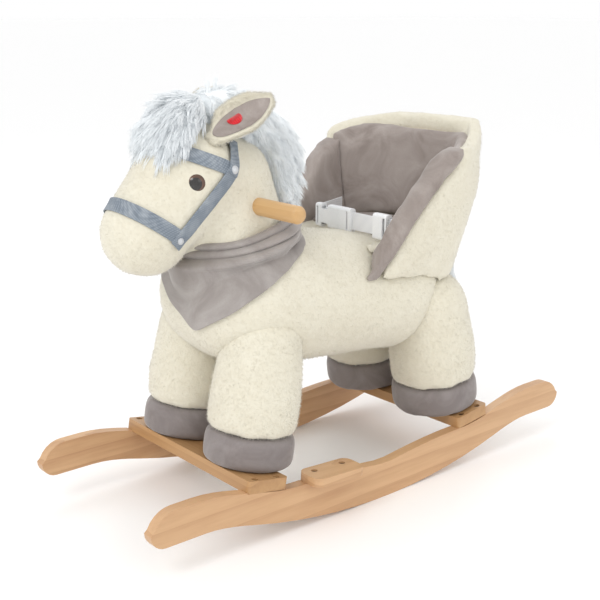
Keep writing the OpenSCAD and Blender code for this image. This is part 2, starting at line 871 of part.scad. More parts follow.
// ---------- Belt ----------
belt_y = 48;
belt_z = 358.4;
web_t = 2;
socket_x = [-57, -8];
plug_x = [-8, 15];
slider_x = [60, 86];
buckle_h = 34;
buckle_t = 12;
anchor_y = 123;
module upright_band(points) {
    translate([0, 0, belt_z - belt_w / 2]) linear_extrude(belt_w) polygon(points);
}
module belt_strap_right() {
    color(white_plastic) upright_band([[-88.5, anchor_y], [-90.6, anchor_y], [-61.5, belt_y - 1],
        [socket_x[0] - 0.2, belt_y - 1], [socket_x[0] - 0.2, belt_y + 1], [-60, belt_y + 1]]);
}
module belt_strap_anchor() {
    color(white_plastic) upright_band([[66, belt_y + 3], [88.5, belt_y + 3], [90.5, belt_y + 5], [90.5, anchor_y],
        [88.5, anchor_y], [88.5, belt_y + 6], [87.5, belt_y + 5], [66, belt_y + 5]]);
}
module belt_strap_left() {
    color(white_plastic) translate([plug_x[1], belt_y - web_t / 2, belt_z - belt_w / 2])
        cube([slider_x[0] + 4 - plug_x[1], web_t, belt_w]);
}
module rounded_block(x, t, h, r) {
    translate([x[0], belt_y, belt_z]) rotate([0, 90, 0]) linear_extrude(x[1] - x[0]) union() {
        square([h - 2 * r, t], center = true);
        square([h, t - 2 * r], center = true);
        for (a = [-1, 1], b = [-1, 1]) translate([a * (h / 2 - r), b * (t / 2 - r)]) circle(r, $fn = 24);
    }
}
arm_z = 9.5;          // middle of a buckle arm above the belt's middle line
arm_w = 6;
arm_t = 5;
arm_l = 34;
arm_squeeze = 2.5;
module buckle_socket() {
    inside_h = 2 * arm_z + arm_w + 1;
    color(white_plastic) difference() {
        rounded_block(socket_x, buckle_t, buckle_h, 4);
        translate([socket_x[0] + 9, belt_y - 3.2, belt_z - inside_h / 2]) cube([60, 6.4, inside_h]);
        translate([socket_x[0] + 12, belt_y - 20, belt_z - 40 - inside_h / 2 + 3]) cube([14, 40, 40]);
        translate([socket_x[0] + 12, belt_y - 20, belt_z + inside_h / 2 - 3]) cube([14, 40, 40]);
        translate([socket_x[0] + 3, belt_y - 20, belt_z - 13]) cube([2.6, 40, 26]);
    }
}
module buckle_plug() {
    color(white_plastic) union() {
        difference() {
            rounded_block([plug_x[0] + 0.3, plug_x[1]], buckle_t, buckle_h, 4);
            translate([plug_x[1] - 7, belt_y - 20, belt_z - 13]) cube([2.6, 40, 26]);
            for (s = [-1, 1]) translate([plug_x[0] - 1, belt_y - arm_t / 2 - 0.3, belt_z + s * arm_z - arm_w / 2 - (s > 0 ? arm_squeeze + 0.2 : 0.2)])
                cube([5, arm_t + 0.6, arm_w + arm_squeeze + 0.4]);
        }
        translate([plug_x[0] - 30, belt_y - 2, belt_z - 2]) cube([31, 4, 4]);
    }
}
// An arm of the plug ends in the thumb pad that shows in the socket's window
module buckle_arm(s) {
    color(white_plastic) translate([0, 0, belt_z + s * arm_z]) union() {
        translate([plug_x[0] + 3 - arm_l, belt_y - arm_t / 2, -arm_w / 2 + (s > 0 ? 2 : 0)])
            cube([arm_l, arm_t, arm_w - 2]);
        translate([plug_x[0] + 3 - arm_l, belt_y - arm_t / 2, -arm_w / 2]) cube([11, arm_t, arm_w]);
    }
}
module belt_slider() {
    slot_h = belt_w + 1.2;
    color(white_plastic) difference() {
        translate([0, 1.2, 0]) rounded_block(slider_x, 12, 36, 4);
        translate([slider_x[0] - 1, belt_y - 1.5, belt_z - slot_h / 2]) cube([40, 3, slot_h]);
        translate([slider_x[0] - 1, belt_y + 2.5, belt_z - slot_h / 2]) cube([40, 3, slot_h]);
        translate([slider_x[1] - 8, belt_y - 20, belt_z - slot_h / 2]) cube([5, 19, slot_h]);
    }
}

rocker(left);  // rocker_left
rocker(right);  // rocker_right
front_crossboard();
rear_crossboard();
footrest(left);  // footrest_left
footrest(right);  // footrest_right
crossboard_screws();
footrest_screws();
leg_bolts();
leg_posts();
spine_board();
back_board();
neck_post();
frame_screws();
handle();
torso();
head();
front_leg(left);  // front_leg_left
front_leg(right);  // front_leg_right
rear_leg(left);  // rear_leg_left
rear_leg(right);  // rear_leg_right
at_front() hoof(front_leg_x, front_set, front_leg_r);  // front_hoof_left
at_front() hoof(-front_leg_x, front_set, front_leg_r);  // front_hoof_right
at_rear() hoof(rear_leg_x, rear_set, rear_leg_r);  // rear_hoof_left
at_rear() hoof(-rear_leg_x, rear_set, rear_leg_r);  // rear_hoof_right
forelock();
mane();
tail();
ear(left);  // ear_left
ear(right);  // ear_right
ear_lining(left);  // ear_lining_left
ear_lining(right);  // ear_lining_right
ear_button(left);  // ear_button_left
ear_button(right);  // ear_button_right
sound_housings();
sound_covers();
sound_boards();
sound_cells();
sound_speakers();
seat_shell();
backrest_panel();
wing_panel(left);  // wing_panel_left
wing_panel(right);  // wing_panel_right
seat_cushion();
eyes();
noseband();
cheek_straps();
browband();
crown_straps();
rivets();
bandana();
belt_strap_right();
belt_strap_left();
belt_strap_anchor();
buckle_socket();
buckle_plug();
buckle_arm(1);  // buckle_arm_upper
buckle_arm(-1);  // buckle_arm_lower
belt_slider();
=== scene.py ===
# %% [markdown]
# A plush rocking horse with a bucket seat, on wooden rockers.
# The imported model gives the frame: every piece is made in metres, in the place the frame gives it.
# +X is the horse's left side, -Y is the way it looks, and +Z is up.

# %% Load the frame
import bpy
import bmesh
import math
import random
from mathutils import Euler, Matrix, Vector, noise
from mathutils.bvhtree import BVHTree


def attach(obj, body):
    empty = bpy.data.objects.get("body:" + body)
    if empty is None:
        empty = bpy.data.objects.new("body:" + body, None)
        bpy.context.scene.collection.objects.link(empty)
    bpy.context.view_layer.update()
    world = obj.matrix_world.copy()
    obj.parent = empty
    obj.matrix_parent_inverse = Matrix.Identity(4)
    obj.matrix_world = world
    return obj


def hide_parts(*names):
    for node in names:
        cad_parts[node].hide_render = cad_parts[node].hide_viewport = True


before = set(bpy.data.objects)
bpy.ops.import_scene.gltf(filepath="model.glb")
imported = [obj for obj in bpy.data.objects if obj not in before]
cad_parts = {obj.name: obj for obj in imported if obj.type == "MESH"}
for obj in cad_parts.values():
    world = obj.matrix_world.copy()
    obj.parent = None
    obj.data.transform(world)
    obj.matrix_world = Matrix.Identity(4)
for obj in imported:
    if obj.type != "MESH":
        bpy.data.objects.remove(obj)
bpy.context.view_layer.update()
scene = bpy.context.scene

# %% [markdown]
# The camera comes first. It stands low and to the horse's left front, with a short telephoto lens,
# so the near rocker, the head and the open seat all show.

# %% Camera
def looking(place, way):
    """The matrix of a camera or a lamp that stands at a place and looks along a way."""
    return Matrix.Translation(place) @ way.to_track_quat("-Z", "Y").to_matrix().to_4x4()

def aim_camera(place, azimuth, elevation, lens):
    a, e = math.radians(azimuth), math.radians(elevation)
    back = Vector((math.sin(a) * math.cos(e), -math.cos(a) * math.cos(e), math.sin(e)))
    data = bpy.data.cameras.new("camera")
    data.lens, data.sensor_width = lens, 36
    camera = bpy.data.objects.new("camera", data)
    camera.matrix_world = looking(place, -back)
    scene.collection.objects.link(camera)
    scene.camera = camera

aim_camera(Vector((1.0970, -0.9595, 0.6453)), 49.885, 15.215, 64.43)

# %% [markdown]
# The room is a plain pale floor under soft studio light: a bright world, a large key light above
# the camera's left, a weak fill from its right, and one from behind that keeps the far side open.

# %% Floor and lights
LIT_SPOT = Vector((0, 0, 0.25))

def soft_light(name, place, size, power):
    data = bpy.data.lights.new(name, "AREA")
    data.shape, data.size, data.energy = "DISK", size, power
    lamp = bpy.data.objects.new(name, data)
    lamp.matrix_world = looking(place, LIT_SPOT - Vector(place))
    scene.collection.objects.link(lamp)

def pale_floor():
    bm = bmesh.new()
    bmesh.ops.create_grid(bm, x_segments=1, y_segments=1, size=60)
    mesh = bpy.data.meshes.new("floor")
    bm.to_mesh(mesh)
    bm.free()
    floor = bpy.data.objects.new("floor", mesh)
    scene.collection.objects.link(floor)
    paint = bpy.data.materials.new("floor_paint")
    paint.use_nodes = True
    shader = paint.node_tree.nodes["Principled BSDF"]
    shader.inputs["Base Color"].default_value = (0.99, 0.99, 0.99, 1)
    shader.inputs["Roughness"].default_value = 0.7
    mesh.materials.append(paint)

pale_floor()
world = bpy.data.worlds.new("studio")
world.use_nodes = True
world.node_tree.nodes["Background"].inputs["Color"].default_value = (1, 1, 1, 1)
world.node_tree.nodes["Background"].inputs["Strength"].default_value = 1.0
scene.world = world
scene.view_settings.view_transform = "Standard"
soft_light("key", (0.6, -2.2, 2.2), 1.2, 20)
soft_light("fill", (2.4, 0.3, 1.5), 1.4, 5)
soft_light("back", (-1.4, 1.6, 2.2), 1.2, 6)
print("camera, floor and lights are in place")

# %% [markdown]
# Most finishes here share a few effects: a pile or fur clumping with painted shade in its hollows, a brushed
# velvet nap, a woven strap with painted shade in its gaps and a wood grain. Each effect is one node group with
# named sockets, built once. The shader itself stays in each material, and so do the numbers that are the same
# all over.

# %% Node helpers
def node(tree, kind, **values):
    made = tree.nodes.new(kind)
    for key, value in values.items():
        setattr(made, key, value)
    return made

def new_group(name, colours, numbers=()):
    tree = bpy.data.node_groups.new(name, "ShaderNodeTree")
    sockets = [("Vector", "INPUT", "Vector")]
    sockets += [(label, "INPUT", "Color") for label in colours]
    sockets += [(label, "INPUT", "Float") for label in numbers]
    sockets += [("Colour", "OUTPUT", "Color"), ("Roughness", "OUTPUT", "Float"), ("Height", "OUTPUT", "Float")]
    for label, way, kind in sockets:
        tree.interface.new_socket(name=label, in_out=way, socket_type="NodeSocket" + kind)
    return tree, node(tree, "NodeGroupInput"), node(tree, "NodeGroupOutput")

def feed(tree, socket, value):
    """Links another node's output into the socket, or sets a plain number or colour."""
    if hasattr(value, "links"):
        tree.links.new(value, socket)
    else:
        socket.default_value = value

def mix_colours(tree, factor, a, b):
    mix = node(tree, "ShaderNodeMix", data_type="RGBA")
    for i, value in ((0, factor), (6, a), (7, b)):
        feed(tree, mix.inputs[i], value)
    return mix.outputs[2]

def ramp(tree, source, low, high, to_low=0.0, to_high=1.0):
    r = node(tree, "ShaderNodeMapRange")
    tree.links.new(source, r.inputs["Value"])
    for label, value in (("From Min", low), ("From Max", high), ("To Min", to_low), ("To Max", to_high)):
        r.inputs[label].default_value = value
    return r.outputs["Result"]

def noise_node(tree, vector, scale, detail=3.0, roughness=0.5, distortion=0.0):
    n = node(tree, "ShaderNodeTexNoise")
    tree.links.new(vector, n.inputs["Vector"])
    n.inputs["Scale"].default_value = scale
    n.inputs["Detail"].default_value = detail
    n.inputs["Roughness"].default_value = roughness
    n.inputs["Distortion"].default_value = distortion
    return n.outputs["Fac"]

def math_node(tree, operation, a, b):
    m = node(tree, "ShaderNodeMath", operation=operation)
    feed(tree, m.inputs[0], a)
    feed(tree, m.inputs[1], b)
    return m.outputs[0]

# %% Pile effect
def pile_group():
    tree, gin, gout = new_group("pile", ("Colour", "Deep colour"), ("Patchiness",))
    v = gin.outputs["Vector"]
    patches = ramp(tree, noise_node(tree, v, 9, 4, 0.6), 0.35, 0.7)
    curls = ramp(tree, noise_node(tree, v, 130, 4, 0.65, 0.6), 0.25, 0.7)
    fibres = noise_node(tree, v, 520, 2, 0.7)
    # The second colour is painted shade in the hollows between curls, where the bump is low, and also the real
    # tone of the random patches.
    deep = math_node(tree, "MULTIPLY", math_node(tree, "SUBTRACT", 1.0, curls), 0.55)
    patch = math_node(tree, "MULTIPLY", patches, gin.outputs["Patchiness"])
    hollow_shade_share, patch_share = math_node(tree, "MULTIPLY", deep, 0.7), math_node(tree, "MULTIPLY", patch, 0.6)
    shade = math_node(tree, "ADD", hollow_shade_share, patch_share)
    colour = mix_colours(tree, shade, gin.outputs["Colour"], gin.outputs["Deep colour"])
    tree.links.new(colour, gout.inputs["Colour"])
    tree.links.new(ramp(tree, curls, 0, 1, 0.95, 0.8), gout.inputs["Roughness"])
    height = math_node(tree, "ADD", curls, math_node(tree, "MULTIPLY", fibres, 0.5))
    tree.links.new(height, gout.inputs["Height"])
    return tree

PILE = pile_group()
print("pile group has", len(PILE.nodes), "nodes")

# %% Velvet effect
def velvet_group():
    tree, gin, gout = new_group("brushed_nap", ("Colour", "Brushed colour"))
    v = gin.outputs["Vector"]
    brushed = ramp(tree, noise_node(tree, v, 14, 4, 0.62, 1.2), 0.36, 0.66)
    fine = noise_node(tree, v, 900, 2, 0.6)
    speck = ramp(tree, fine, 0.3, 0.7, 0.0, 0.25)
    colour = mix_colours(tree, brushed, gin.outputs["Colour"], gin.outputs["Brushed colour"])
    dark = mix_colours(tree, 0.5, gin.outputs["Colour"], (0.16, 0.13, 0.12, 1))
    tree.links.new(mix_colours(tree, speck, colour, dark), gout.inputs["Colour"])
    tree.links.new(ramp(tree, brushed, 0, 1, 0.9, 0.75), gout.inputs["Roughness"])
    tree.links.new(fine, gout.inputs["Height"])
    return tree

VELVET = velvet_group()
print("velvet group has", len(VELVET.nodes), "nodes")

# %% Weave effect
def weave_group():
    tree, gin, gout = new_group("diagonal_weave", ("Colour", "Gap colour"))
    v = gin.outputs["Vector"]
    crossed = []
    for turn in (Euler((0.6, 0.5, 0.8)), Euler((-0.7, 0.6, -0.9))):
        mapping = node(tree, "ShaderNodeMapping")
        mapping.inputs["Rotation"].default_value = turn
        tree.links.new(v, mapping.inputs["Vector"])
        wave = node(tree, "ShaderNodeTexWave", wave_type="BANDS", bands_direction="X", wave_profile="SIN")
        wave.inputs["Scale"].default_value = 150
        wave.inputs["Distortion"].default_value = 0.4
        tree.links.new(mapping.outputs["Vector"], wave.inputs["Vector"])
        crossed.append(wave.outputs["Fac"])
    threads = math_node(tree, "MULTIPLY", crossed[0], crossed[1])
    fuzz = noise_node(tree, v, 60, 3, 0.6)
    # The second colour is painted shade in the gaps between the threads, where the weave's bump is low.
    gap_shade = ramp(tree, threads, 0.0, 0.45, 0.75, 0.0)
    colour = mix_colours(tree, gap_shade, gin.outputs["Colour"], gin.outputs["Gap colour"])
    fuzzy = mix_colours(tree, ramp(tree, fuzz, 0.4, 0.7, 0, 0.2), colour, (0.75, 0.78, 0.8, 1))
    tree.links.new(fuzzy, gout.inputs["Colour"])
    tree.links.new(ramp(tree, threads, 0, 1, 0.9, 0.7), gout.inputs["Roughness"])
    tree.links.new(threads, gout.inputs["Height"])
    return tree

WEAVE = weave_group()
print("weave group has", len(WEAVE.nodes), "nodes")

# %% Grain effect
def grain_group():
    tree, gin, gout = new_group("wood_grain", ("Light", "Dark"))
    v = gin.outputs["Vector"]
    wave = node(tree, "ShaderNodeTexWave", wave_type="BANDS", bands_direction="Z", wave_profile="SAW")
    wave.inputs["Scale"].default_value = 9
    wave.inputs["Distortion"].default_value = 5.5
    wave.inputs["Detail"].default_value = 3
    wave.inputs["Detail Scale"].default_value = 0.7
    tree.links.new(v, wave.inputs["Vector"])
    streaks = noise_node(tree, v, 60, 5, 0.65)
    broad = noise_node(tree, v, 5, 2, 0.5)
    rings = ramp(tree, wave.outputs["Fac"], 0.2, 1.0, 0.0, 0.55)
    lines = ramp(tree, streaks, 0.4, 0.68, 0.0, 0.5)
    shade = math_node(tree, "ADD", rings, lines)
    colour = mix_colours(tree, shade, gin.outputs["Light"], gin.outputs["Dark"])
    warm = mix_colours(tree, ramp(tree, broad, 0.35, 0.65, 0, 0.35), colour, gin.outputs["Light"])
    tree.links.new(warm, gout.inputs["Colour"])
    tree.links.new(ramp(tree, streaks, 0, 1, 0.38, 0.55), gout.inputs["Roughness"])
    tree.links.new(streaks, gout.inputs["Height"])
    return tree

GRAIN = grain_group()
print("grain group has", len(GRAIN.nodes), "nodes")

# %% [markdown]
# A finish is a material that feeds one of those groups from Object coordinates. A Mapping node
# stretches the pattern: wood grain is long along the board, so its scale is small there.

# %% Finishes
def hex_linear(text):
    values = [int(text[i:i + 2], 16) / 255 for i in (0, 2, 4)]
    return tuple(c / 12.92 if c <= 0.04045 else ((c + 0.055) / 1.055) ** 2.4 for c in values) + (1,)

def finish(name, effect, inputs, stretch=(1, 1, 1), bump=0.0, distance=0.001, **sockets):
    made = bpy.data.materials.new(name)
    made.use_nodes = True
    tree = made.node_tree
    shader = tree.nodes["Principled BSDF"]
    for label, value in sockets.items():
        shader.inputs[label.replace("_", " ")].default_value = value
    place = node(tree, "ShaderNodeTexCoord")
    mapping = node(tree, "ShaderNodeMapping")
    mapping.inputs["Scale"].default_value = stretch
    tree.links.new(place.outputs["Object"], mapping.inputs["Vector"])
    group = node(tree, "ShaderNodeGroup")
    group.node_tree = effect
    tree.links.new(mapping.outputs["Vector"], group.inputs["Vector"])
    for label, value in inputs.items():
        group.inputs[label].default_value = hex_linear(value) if isinstance(value, str) else value
    tree.links.new(group.outputs["Colour"], shader.inputs["Base Color"])
    tree.links.new(group.outputs["Roughness"], shader.inputs["Roughness"])
    if bump:
        rough = node(tree, "ShaderNodeBump")
        rough.inputs["Strength"].default_value = bump
        rough.inputs["Distance"].default_value = distance
        tree.links.new(group.outputs["Height"], rough.inputs["Height"])
        tree.links.new(rough.outputs["Normal"], shader.inputs["Normal"])
    return made

# In the pile finishes the second colour is painted shade for the curl hollows, bluish under the white hair, and
# the tone of the patches.
CREAM = finish("cream_plush", PILE, {"Colour": "e1dccb", "Deep colour": "d1c9b3", "Patchiness": 0.5},
    bump=0.35, distance=0.0016, Sheen_Weight=0.35, Sheen_Roughness=0.5)
# The tufts take a lighter copy of the cream pile: painted light that evens out the shade the tufts cast on each
# other.
LIGHTER_CREAM_TUFTS = finish("cream_pile_tips", PILE, {"Colour": "e5e0d0", "Deep colour": "dad3c1", "Patchiness": 0.5},
    Sheen_Weight=0.4, Sheen_Roughness=0.5)
# The long pile glows faintly through its emission: a painted glow that lifts the white strands out of the shade
# they cast on each other.
SNOW = finish("snow_long_pile", PILE, {"Colour": "f6f8f9", "Deep colour": "dfe5e8", "Patchiness": 0.4},
    Sheen_Weight=0.8, Sheen_Roughness=0.5, Emission_Color=(0.85, 0.93, 1.0, 1), Emission_Strength=0.06)
SEAT_VELVET = finish("grey_velvet", VELVET, {"Colour": "8b807a", "Brushed colour": "a89e98"},
    bump=0.12, distance=0.0006, Sheen_Weight=0.45, Sheen_Roughness=0.35)
HOOF_VELVET = finish("hoof_velvet", VELVET, {"Colour": "7f7775", "Brushed colour": "918a88"},
    bump=0.12, distance=0.0006, Sheen_Weight=0.45, Sheen_Roughness=0.35)
BANDANA_VELVET = finish("bandana_velvet", VELVET, {"Colour": "958e8a", "Brushed colour": "aba5a1"},
    bump=0.12, distance=0.0006, Sheen_Weight=0.45, Sheen_Roughness=0.35)
BRIDLE = finish("bridle_webbing", WEAVE, {"Colour": "868f99", "Gap colour": "67707a"},
    bump=0.35, distance=0.0005)
BELT = finish("belt_webbing", WEAVE, {"Colour": "f0f0f1", "Gap colour": "d2d4d8"},
    bump=0.3, distance=0.0005)
PINE_ALONG = finish("pine_along_rocker", GRAIN, {"Light": "d0a87e", "Dark": "b48860"},
    stretch=(1.6, 0.12, 1.6), bump=0.08, distance=0.0004, Coat_Weight=0.15, Coat_Roughness=0.35)
PINE_ACROSS = finish("pine_across_board", GRAIN, {"Light": "bb9264", "Dark": "a1764b"},
    stretch=(0.12, 1.6, 1.6), bump=0.08, distance=0.0004, Coat_Weight=0.15, Coat_Roughness=0.35)
PINE_UP = finish("pine_post", GRAIN, {"Light": "dcb788", "Dark": "bd9263"},
    stretch=(1.6, 1.6, 0.12), bump=0.08, distance=0.0004)
DOWEL = finish("beech_dowel", GRAIN, {"Light": "cda673", "Dark": "b98f58"},
    stretch=(0.12, 1.6, 1.6), bump=0.05, distance=0.0003, Coat_Weight=0.25, Coat_Roughness=0.3)
PLYWOOD = finish("plywood", GRAIN, {"Light": "d8b482", "Dark": "a98254"},
    stretch=(1.0, 0.15, 6.0), bump=0.1, distance=0.0004)
PLASTIC = finish("white_buckle_plastic", VELVET, {"Colour": "eceef0", "Brushed colour": "f3f4f5"},
    bump=0.03, distance=0.0003, Coat_Weight=0.3, Coat_Roughness=0.25)
STEEL = finish("rivet_steel", VELVET, {"Colour": "d5d7da", "Brushed colour": "e6e8ea"},
    bump=0.03, distance=0.0002, Metallic=1.0)
SCREW = finish("dark_screw_steel", VELVET, {"Colour": "5a4632", "Brushed colour": "6d5740"},
    bump=0.05, distance=0.0002, Metallic=0.6)
RED = finish("red_patch", WEAVE, {"Colour": "d2222a", "Gap colour": "a8161d"},
    bump=0.25, distance=0.0004)
PUPIL = finish("eye_pupil", VELVET, {"Colour": "0c0908", "Brushed colour": "14100e"},
    Coat_Weight=1.0, Coat_Roughness=0.03)
IRIS = finish("eye_brown", VELVET, {"Colour": "4a2d1c", "Brushed colour": "6a4630"},
    Coat_Weight=1.0, Coat_Roughness=0.03)
CIRCUIT = finish("circuit_green", WEAVE, {"Colour": "2f7a45", "Gap colour": "1d5530"})
BRASS = finish("speaker_brass", VELVET, {"Colour": "c8a24a", "Brushed colour": "d9b865"}, Metallic=1.0)
print("finishes", len(bpy.data.materials))

# %% [markdown]
# Wood, webbing and plastic keep the frame's shapes: each piece is a merged copy of its part with its
# flat faces joined up and its edges rounded by a Bevel modifier, as sanding or moulding leaves them.

# %% Rounded copies
def merged_copy(part):
    bm = bmesh.new()
    bm.from_mesh(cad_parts[part].data)
    bmesh.ops.remove_doubles(bm, verts=bm.verts, dist=1e-5)
    return bm

def as_object(name, bm):
    mesh = bpy.data.meshes.new(name)
    for face in bm.faces:
        face.smooth = True
    bm.to_mesh(mesh)
    bm.free()
    made = bpy.data.objects.new(name, mesh)
    scene.collection.objects.link(made)
    return made

def dress(piece, material, body="horse", stands_for=()):
    piece.data.materials.clear()
    piece.data.materials.append(material)
    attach(piece, body)
    if stands_for:
        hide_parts(*stands_for)
    return piece

def rounded_copy(part, material, width, body="horse", segments=3, angle=34, join=2.0):
    """Flat faces that meet within join degrees become one, and edges sharper than angle are rounded."""
    bm = merged_copy(part)
    bmesh.ops.dissolve_limit(bm, angle_limit=math.radians(join), verts=bm.verts, edges=bm.edges)
    for edge in bm.edges:
        edge.smooth = len(edge.link_faces) == 2 and edge.calc_face_angle(0) < math.radians(angle)
    piece = as_object(part + "_finished", bm)
    if width:
        bevel = piece.modifiers.new("rounded_edges", "BEVEL")
        bevel.width, bevel.segments, bevel.limit_method = width, segments, "ANGLE"
        bevel.angle_limit, bevel.profile = math.radians(angle), 0.5
    dress(piece, material, body, (part,))

# %% Wooden rocker frame
for side in ("left", "right"):
    rounded_copy("rocker_" + side, PINE_ALONG, 0.0025, join=0.3)
    rounded_copy("footrest_" + side, PINE_ALONG, 0.002)
for board in ("front_crossboard", "rear_crossboard"):
    rounded_copy(board, PINE_ACROSS, 0.0018)
rounded_copy("handle", DOWEL, 0.0, angle=60, join=0.3)
print("rockers, boards, footrests and handle are rounded")

# %% Parts that keep the frame's own mesh
for material, parts in ((SCREW, ("crossboard_screws", "footrest_screws")), (PINE_UP, ("leg_posts", "neck_post")),
                        (STEEL, ("leg_bolts", "frame_screws", "sound_cells")),
                        (PLYWOOD, ("spine_board", "back_board")), (PLASTIC, ("sound_housings", "sound_covers")),
                        (CIRCUIT, ("sound_boards",)), (BRASS, ("sound_speakers",))):
    for part in parts:
        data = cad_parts[part].data
        data.materials.clear()
        data.materials.append(material)

# %% [markdown]
# The plush parts start from the frame's solids too. A stuffed skin has no sharp edge, so each one is
# closed over with a convex hull or remeshed, smoothed, then blown up a little with Cloth pressure:
# the skin wrinkles and swells by itself. A cap keeps it inside the space that the part holds.

# %% Skins
import numpy as np

def far_points(spots, probe):
    directions = np.array([v.co for v in probe.verts])
    return set((directions @ np.array(spots).T).argmax(axis=1).tolist())

def hull_from_points(points):
    bm = bmesh.new()
    for p in points:
        bm.verts.new(p)
    bmesh.ops.convex_hull(bm, input=bm.verts)
    bmesh.ops.delete(bm, geom=[v for v in bm.verts if not v.link_faces], context="VERTS")
    bmesh.ops.recalc_face_normals(bm, faces=bm.faces)
    return bm

def points_of(part):
    """The part's outermost points, one for each of many directions, which is all that a hull needs."""
    spots = {tuple(round(c, 5) for c in v.co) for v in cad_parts[part].data.vertices}
    spots = [Vector(s) for s in sorted(spots)]
    probe = bmesh.new()
    bmesh.ops.create_icosphere(probe, subdivisions=4, radius=1)
    outer = far_points(spots, probe)
    probe.free()
    return [spots[i] for i in sorted(outer)]

def ball_points(at, radius, scale=(1, 1, 1)):
    bm = bmesh.new()
    bmesh.ops.create_uvsphere(bm, u_segments=32, v_segments=20, radius=radius / 1000)
    points = [Vector([c * s for c, s in zip(v.co, scale)]) + Vector(at) / 1000 for v in bm.verts]
    bm.free()
    return points

def joined(name, meshes):
    bm = bmesh.new()
    for part in meshes:
        mesh = bpy.data.meshes.new("part")
        part.to_mesh(mesh)
        part.free()
        bm.from_mesh(mesh)
        bpy.data.meshes.remove(mesh)
    return as_object(name, bm)

def baked(piece):
    depsgraph = bpy.context.evaluated_depsgraph_get()
    mesh = bpy.data.meshes.new_from_object(piece.evaluated_get(depsgraph))
    piece.modifiers.clear()
    old, piece.data = piece.data, mesh
    bpy.data.meshes.remove(old)
    for face in mesh.polygons:
        face.use_smooth = True
    return piece

def evened(bm, verts, rounds, factor=0.5):
    for _ in range(rounds):
        bmesh.ops.smooth_vert(bm, verts=verts, factor=factor, use_axis_x=True, use_axis_y=True, use_axis_z=True)

def soothed(piece, rounds, where=lambda p: True):
    """Evens out the skin where asked, which takes the finest wrinkles out of it."""
    bm = bmesh.new()
    bm.from_mesh(piece.data)
    evened(bm, [v for v in bm.verts if where(v.co)], rounds)
    bm.to_mesh(piece.data)
    bm.free()
    return piece

def remeshed(piece, voxel, rounds):
    skin = piece.modifiers.new("skin", "REMESH")
    skin.mode, skin.voxel_size = "VOXEL", voxel
    return soothed(baked(piece), rounds)

# %% Stuffing with cloth pressure
STUFFING_FRAMES = 20

def stuffed(piece, cap, pressure=4.0, subdivide=1):
    before = [v.co.copy() for v in piece.data.vertices]
    cloth = piece.modifiers.new("stuffing", "CLOTH")
    settings = cloth.settings
    settings.quality = 5
    settings.mass = 0.3
    settings.use_pressure = True
    settings.uniform_pressure_force = pressure
    settings.effector_weights.gravity = 0
    settings.tension_stiffness = settings.compression_stiffness = 12
    cloth.point_cache.frame_start, cloth.point_cache.frame_end = 1, STUFFING_FRAMES
    for step in range(1, STUFFING_FRAMES + 1):
        scene.frame_set(step)
    baked(piece)
    for v, rest in zip(piece.data.vertices, before):
        move = v.co - rest
        if move.length > cap:
            v.co = rest + move.normalized() * cap
    soothed(piece, 3)
    scene.frame_set(1)
    if subdivide:
        finer = piece.modifiers.new("finer", "SUBSURF")
        finer.levels = finer.render_levels = subdivide
        baked(piece)
    return piece

def pushed(piece, amount_at):
    """Moves every point along its normal by what amount_at says for its place."""
    rest = [(v.co.copy(), v.normal.copy()) for v in piece.data.vertices]
    moved = np.array([co + n * amount_at(co) for co, n in rest], dtype=np.float32)
    piece.data.vertices.foreach_set("co", moved.ravel())
    piece.data.update()
    return piece

def ripple(piece, amount, size, seed):
    shift = Vector((seed * 7.3, seed * 3.1, seed * 1.7))
    def swell(co):
        return noise.noise(co / size + shift) + 0.5 * noise.noise(co * 2.1 / size + shift)
    return pushed(piece, lambda co: amount * swell(co))

def crease(piece, distance_to, depth, width):
    return pushed(piece, lambda co: -depth * math.exp(-(distance_to(co) / width) ** 2))

# %% [markdown]
# The body is one stuffed sack, wide at the chest and lower at the rump. The part in the frame has
# pockets for the legs; the hull closes them, because the plush runs over the tops of the legs.

# %% Body
body = joined("plush_body", [hull_from_points(points_of("torso"))])
remeshed(body, 0.006, 4)
stuffed(body, 0.004)
ripple(body, 0.0016, 0.07, 1)
dress(body, CREAM, stands_for=("torso",))
print("body", len(body.data.polygons), "faces")

# %% [markdown]
# Each leg is a stuffed tube that leaves the body and stands on its velvet hoof. Its lower hem hangs a
# little over the hoof. The legs follow the boards' tilt, so they are taken from the frame's parts.

# %% Legs
LEGS = {}
for end in ("front", "rear"):
    for side in ("left", "right"):
        part = end + "_leg_" + side
        leg = joined("plush_" + part, [hull_from_points(points_of(part))])
        remeshed(leg, 0.005, 5)
        stuffed(leg, 0.003)
        ripple(leg, 0.0014, 0.045, 2 + len(LEGS))
        dress(leg, CREAM, stands_for=(part,))
        LEGS[part] = leg
print("legs", {n: len(o.data.polygons) for n, o in LEGS.items()})

# %% [markdown]
# A hoof is velvet over firm wadding: its side bulges between the hem and the sole. It is remeshed
# finely so the sole stays flat where it stands on the board.

# %% Hooves
for end in ("front", "rear"):
    for side in ("left", "right"):
        part = end + "_hoof_" + side
        hoof = joined("velvet_" + part, [hull_from_points(points_of(part))])
        remeshed(hoof, 0.004, 6)
        stuffed(hoof, 0.002)
        dress(hoof, HOOF_VELVET, stands_for=(part,))
print("four velvet hooves")

# %% [markdown]
# The head and neck are sewn from flat pattern pieces: the nose is a rounded block, the forehead runs
# straight up to the poll, and the neck is a thick column. Hulls round balls of the right sizes give
# each part, and the remesh joins them as one skin.

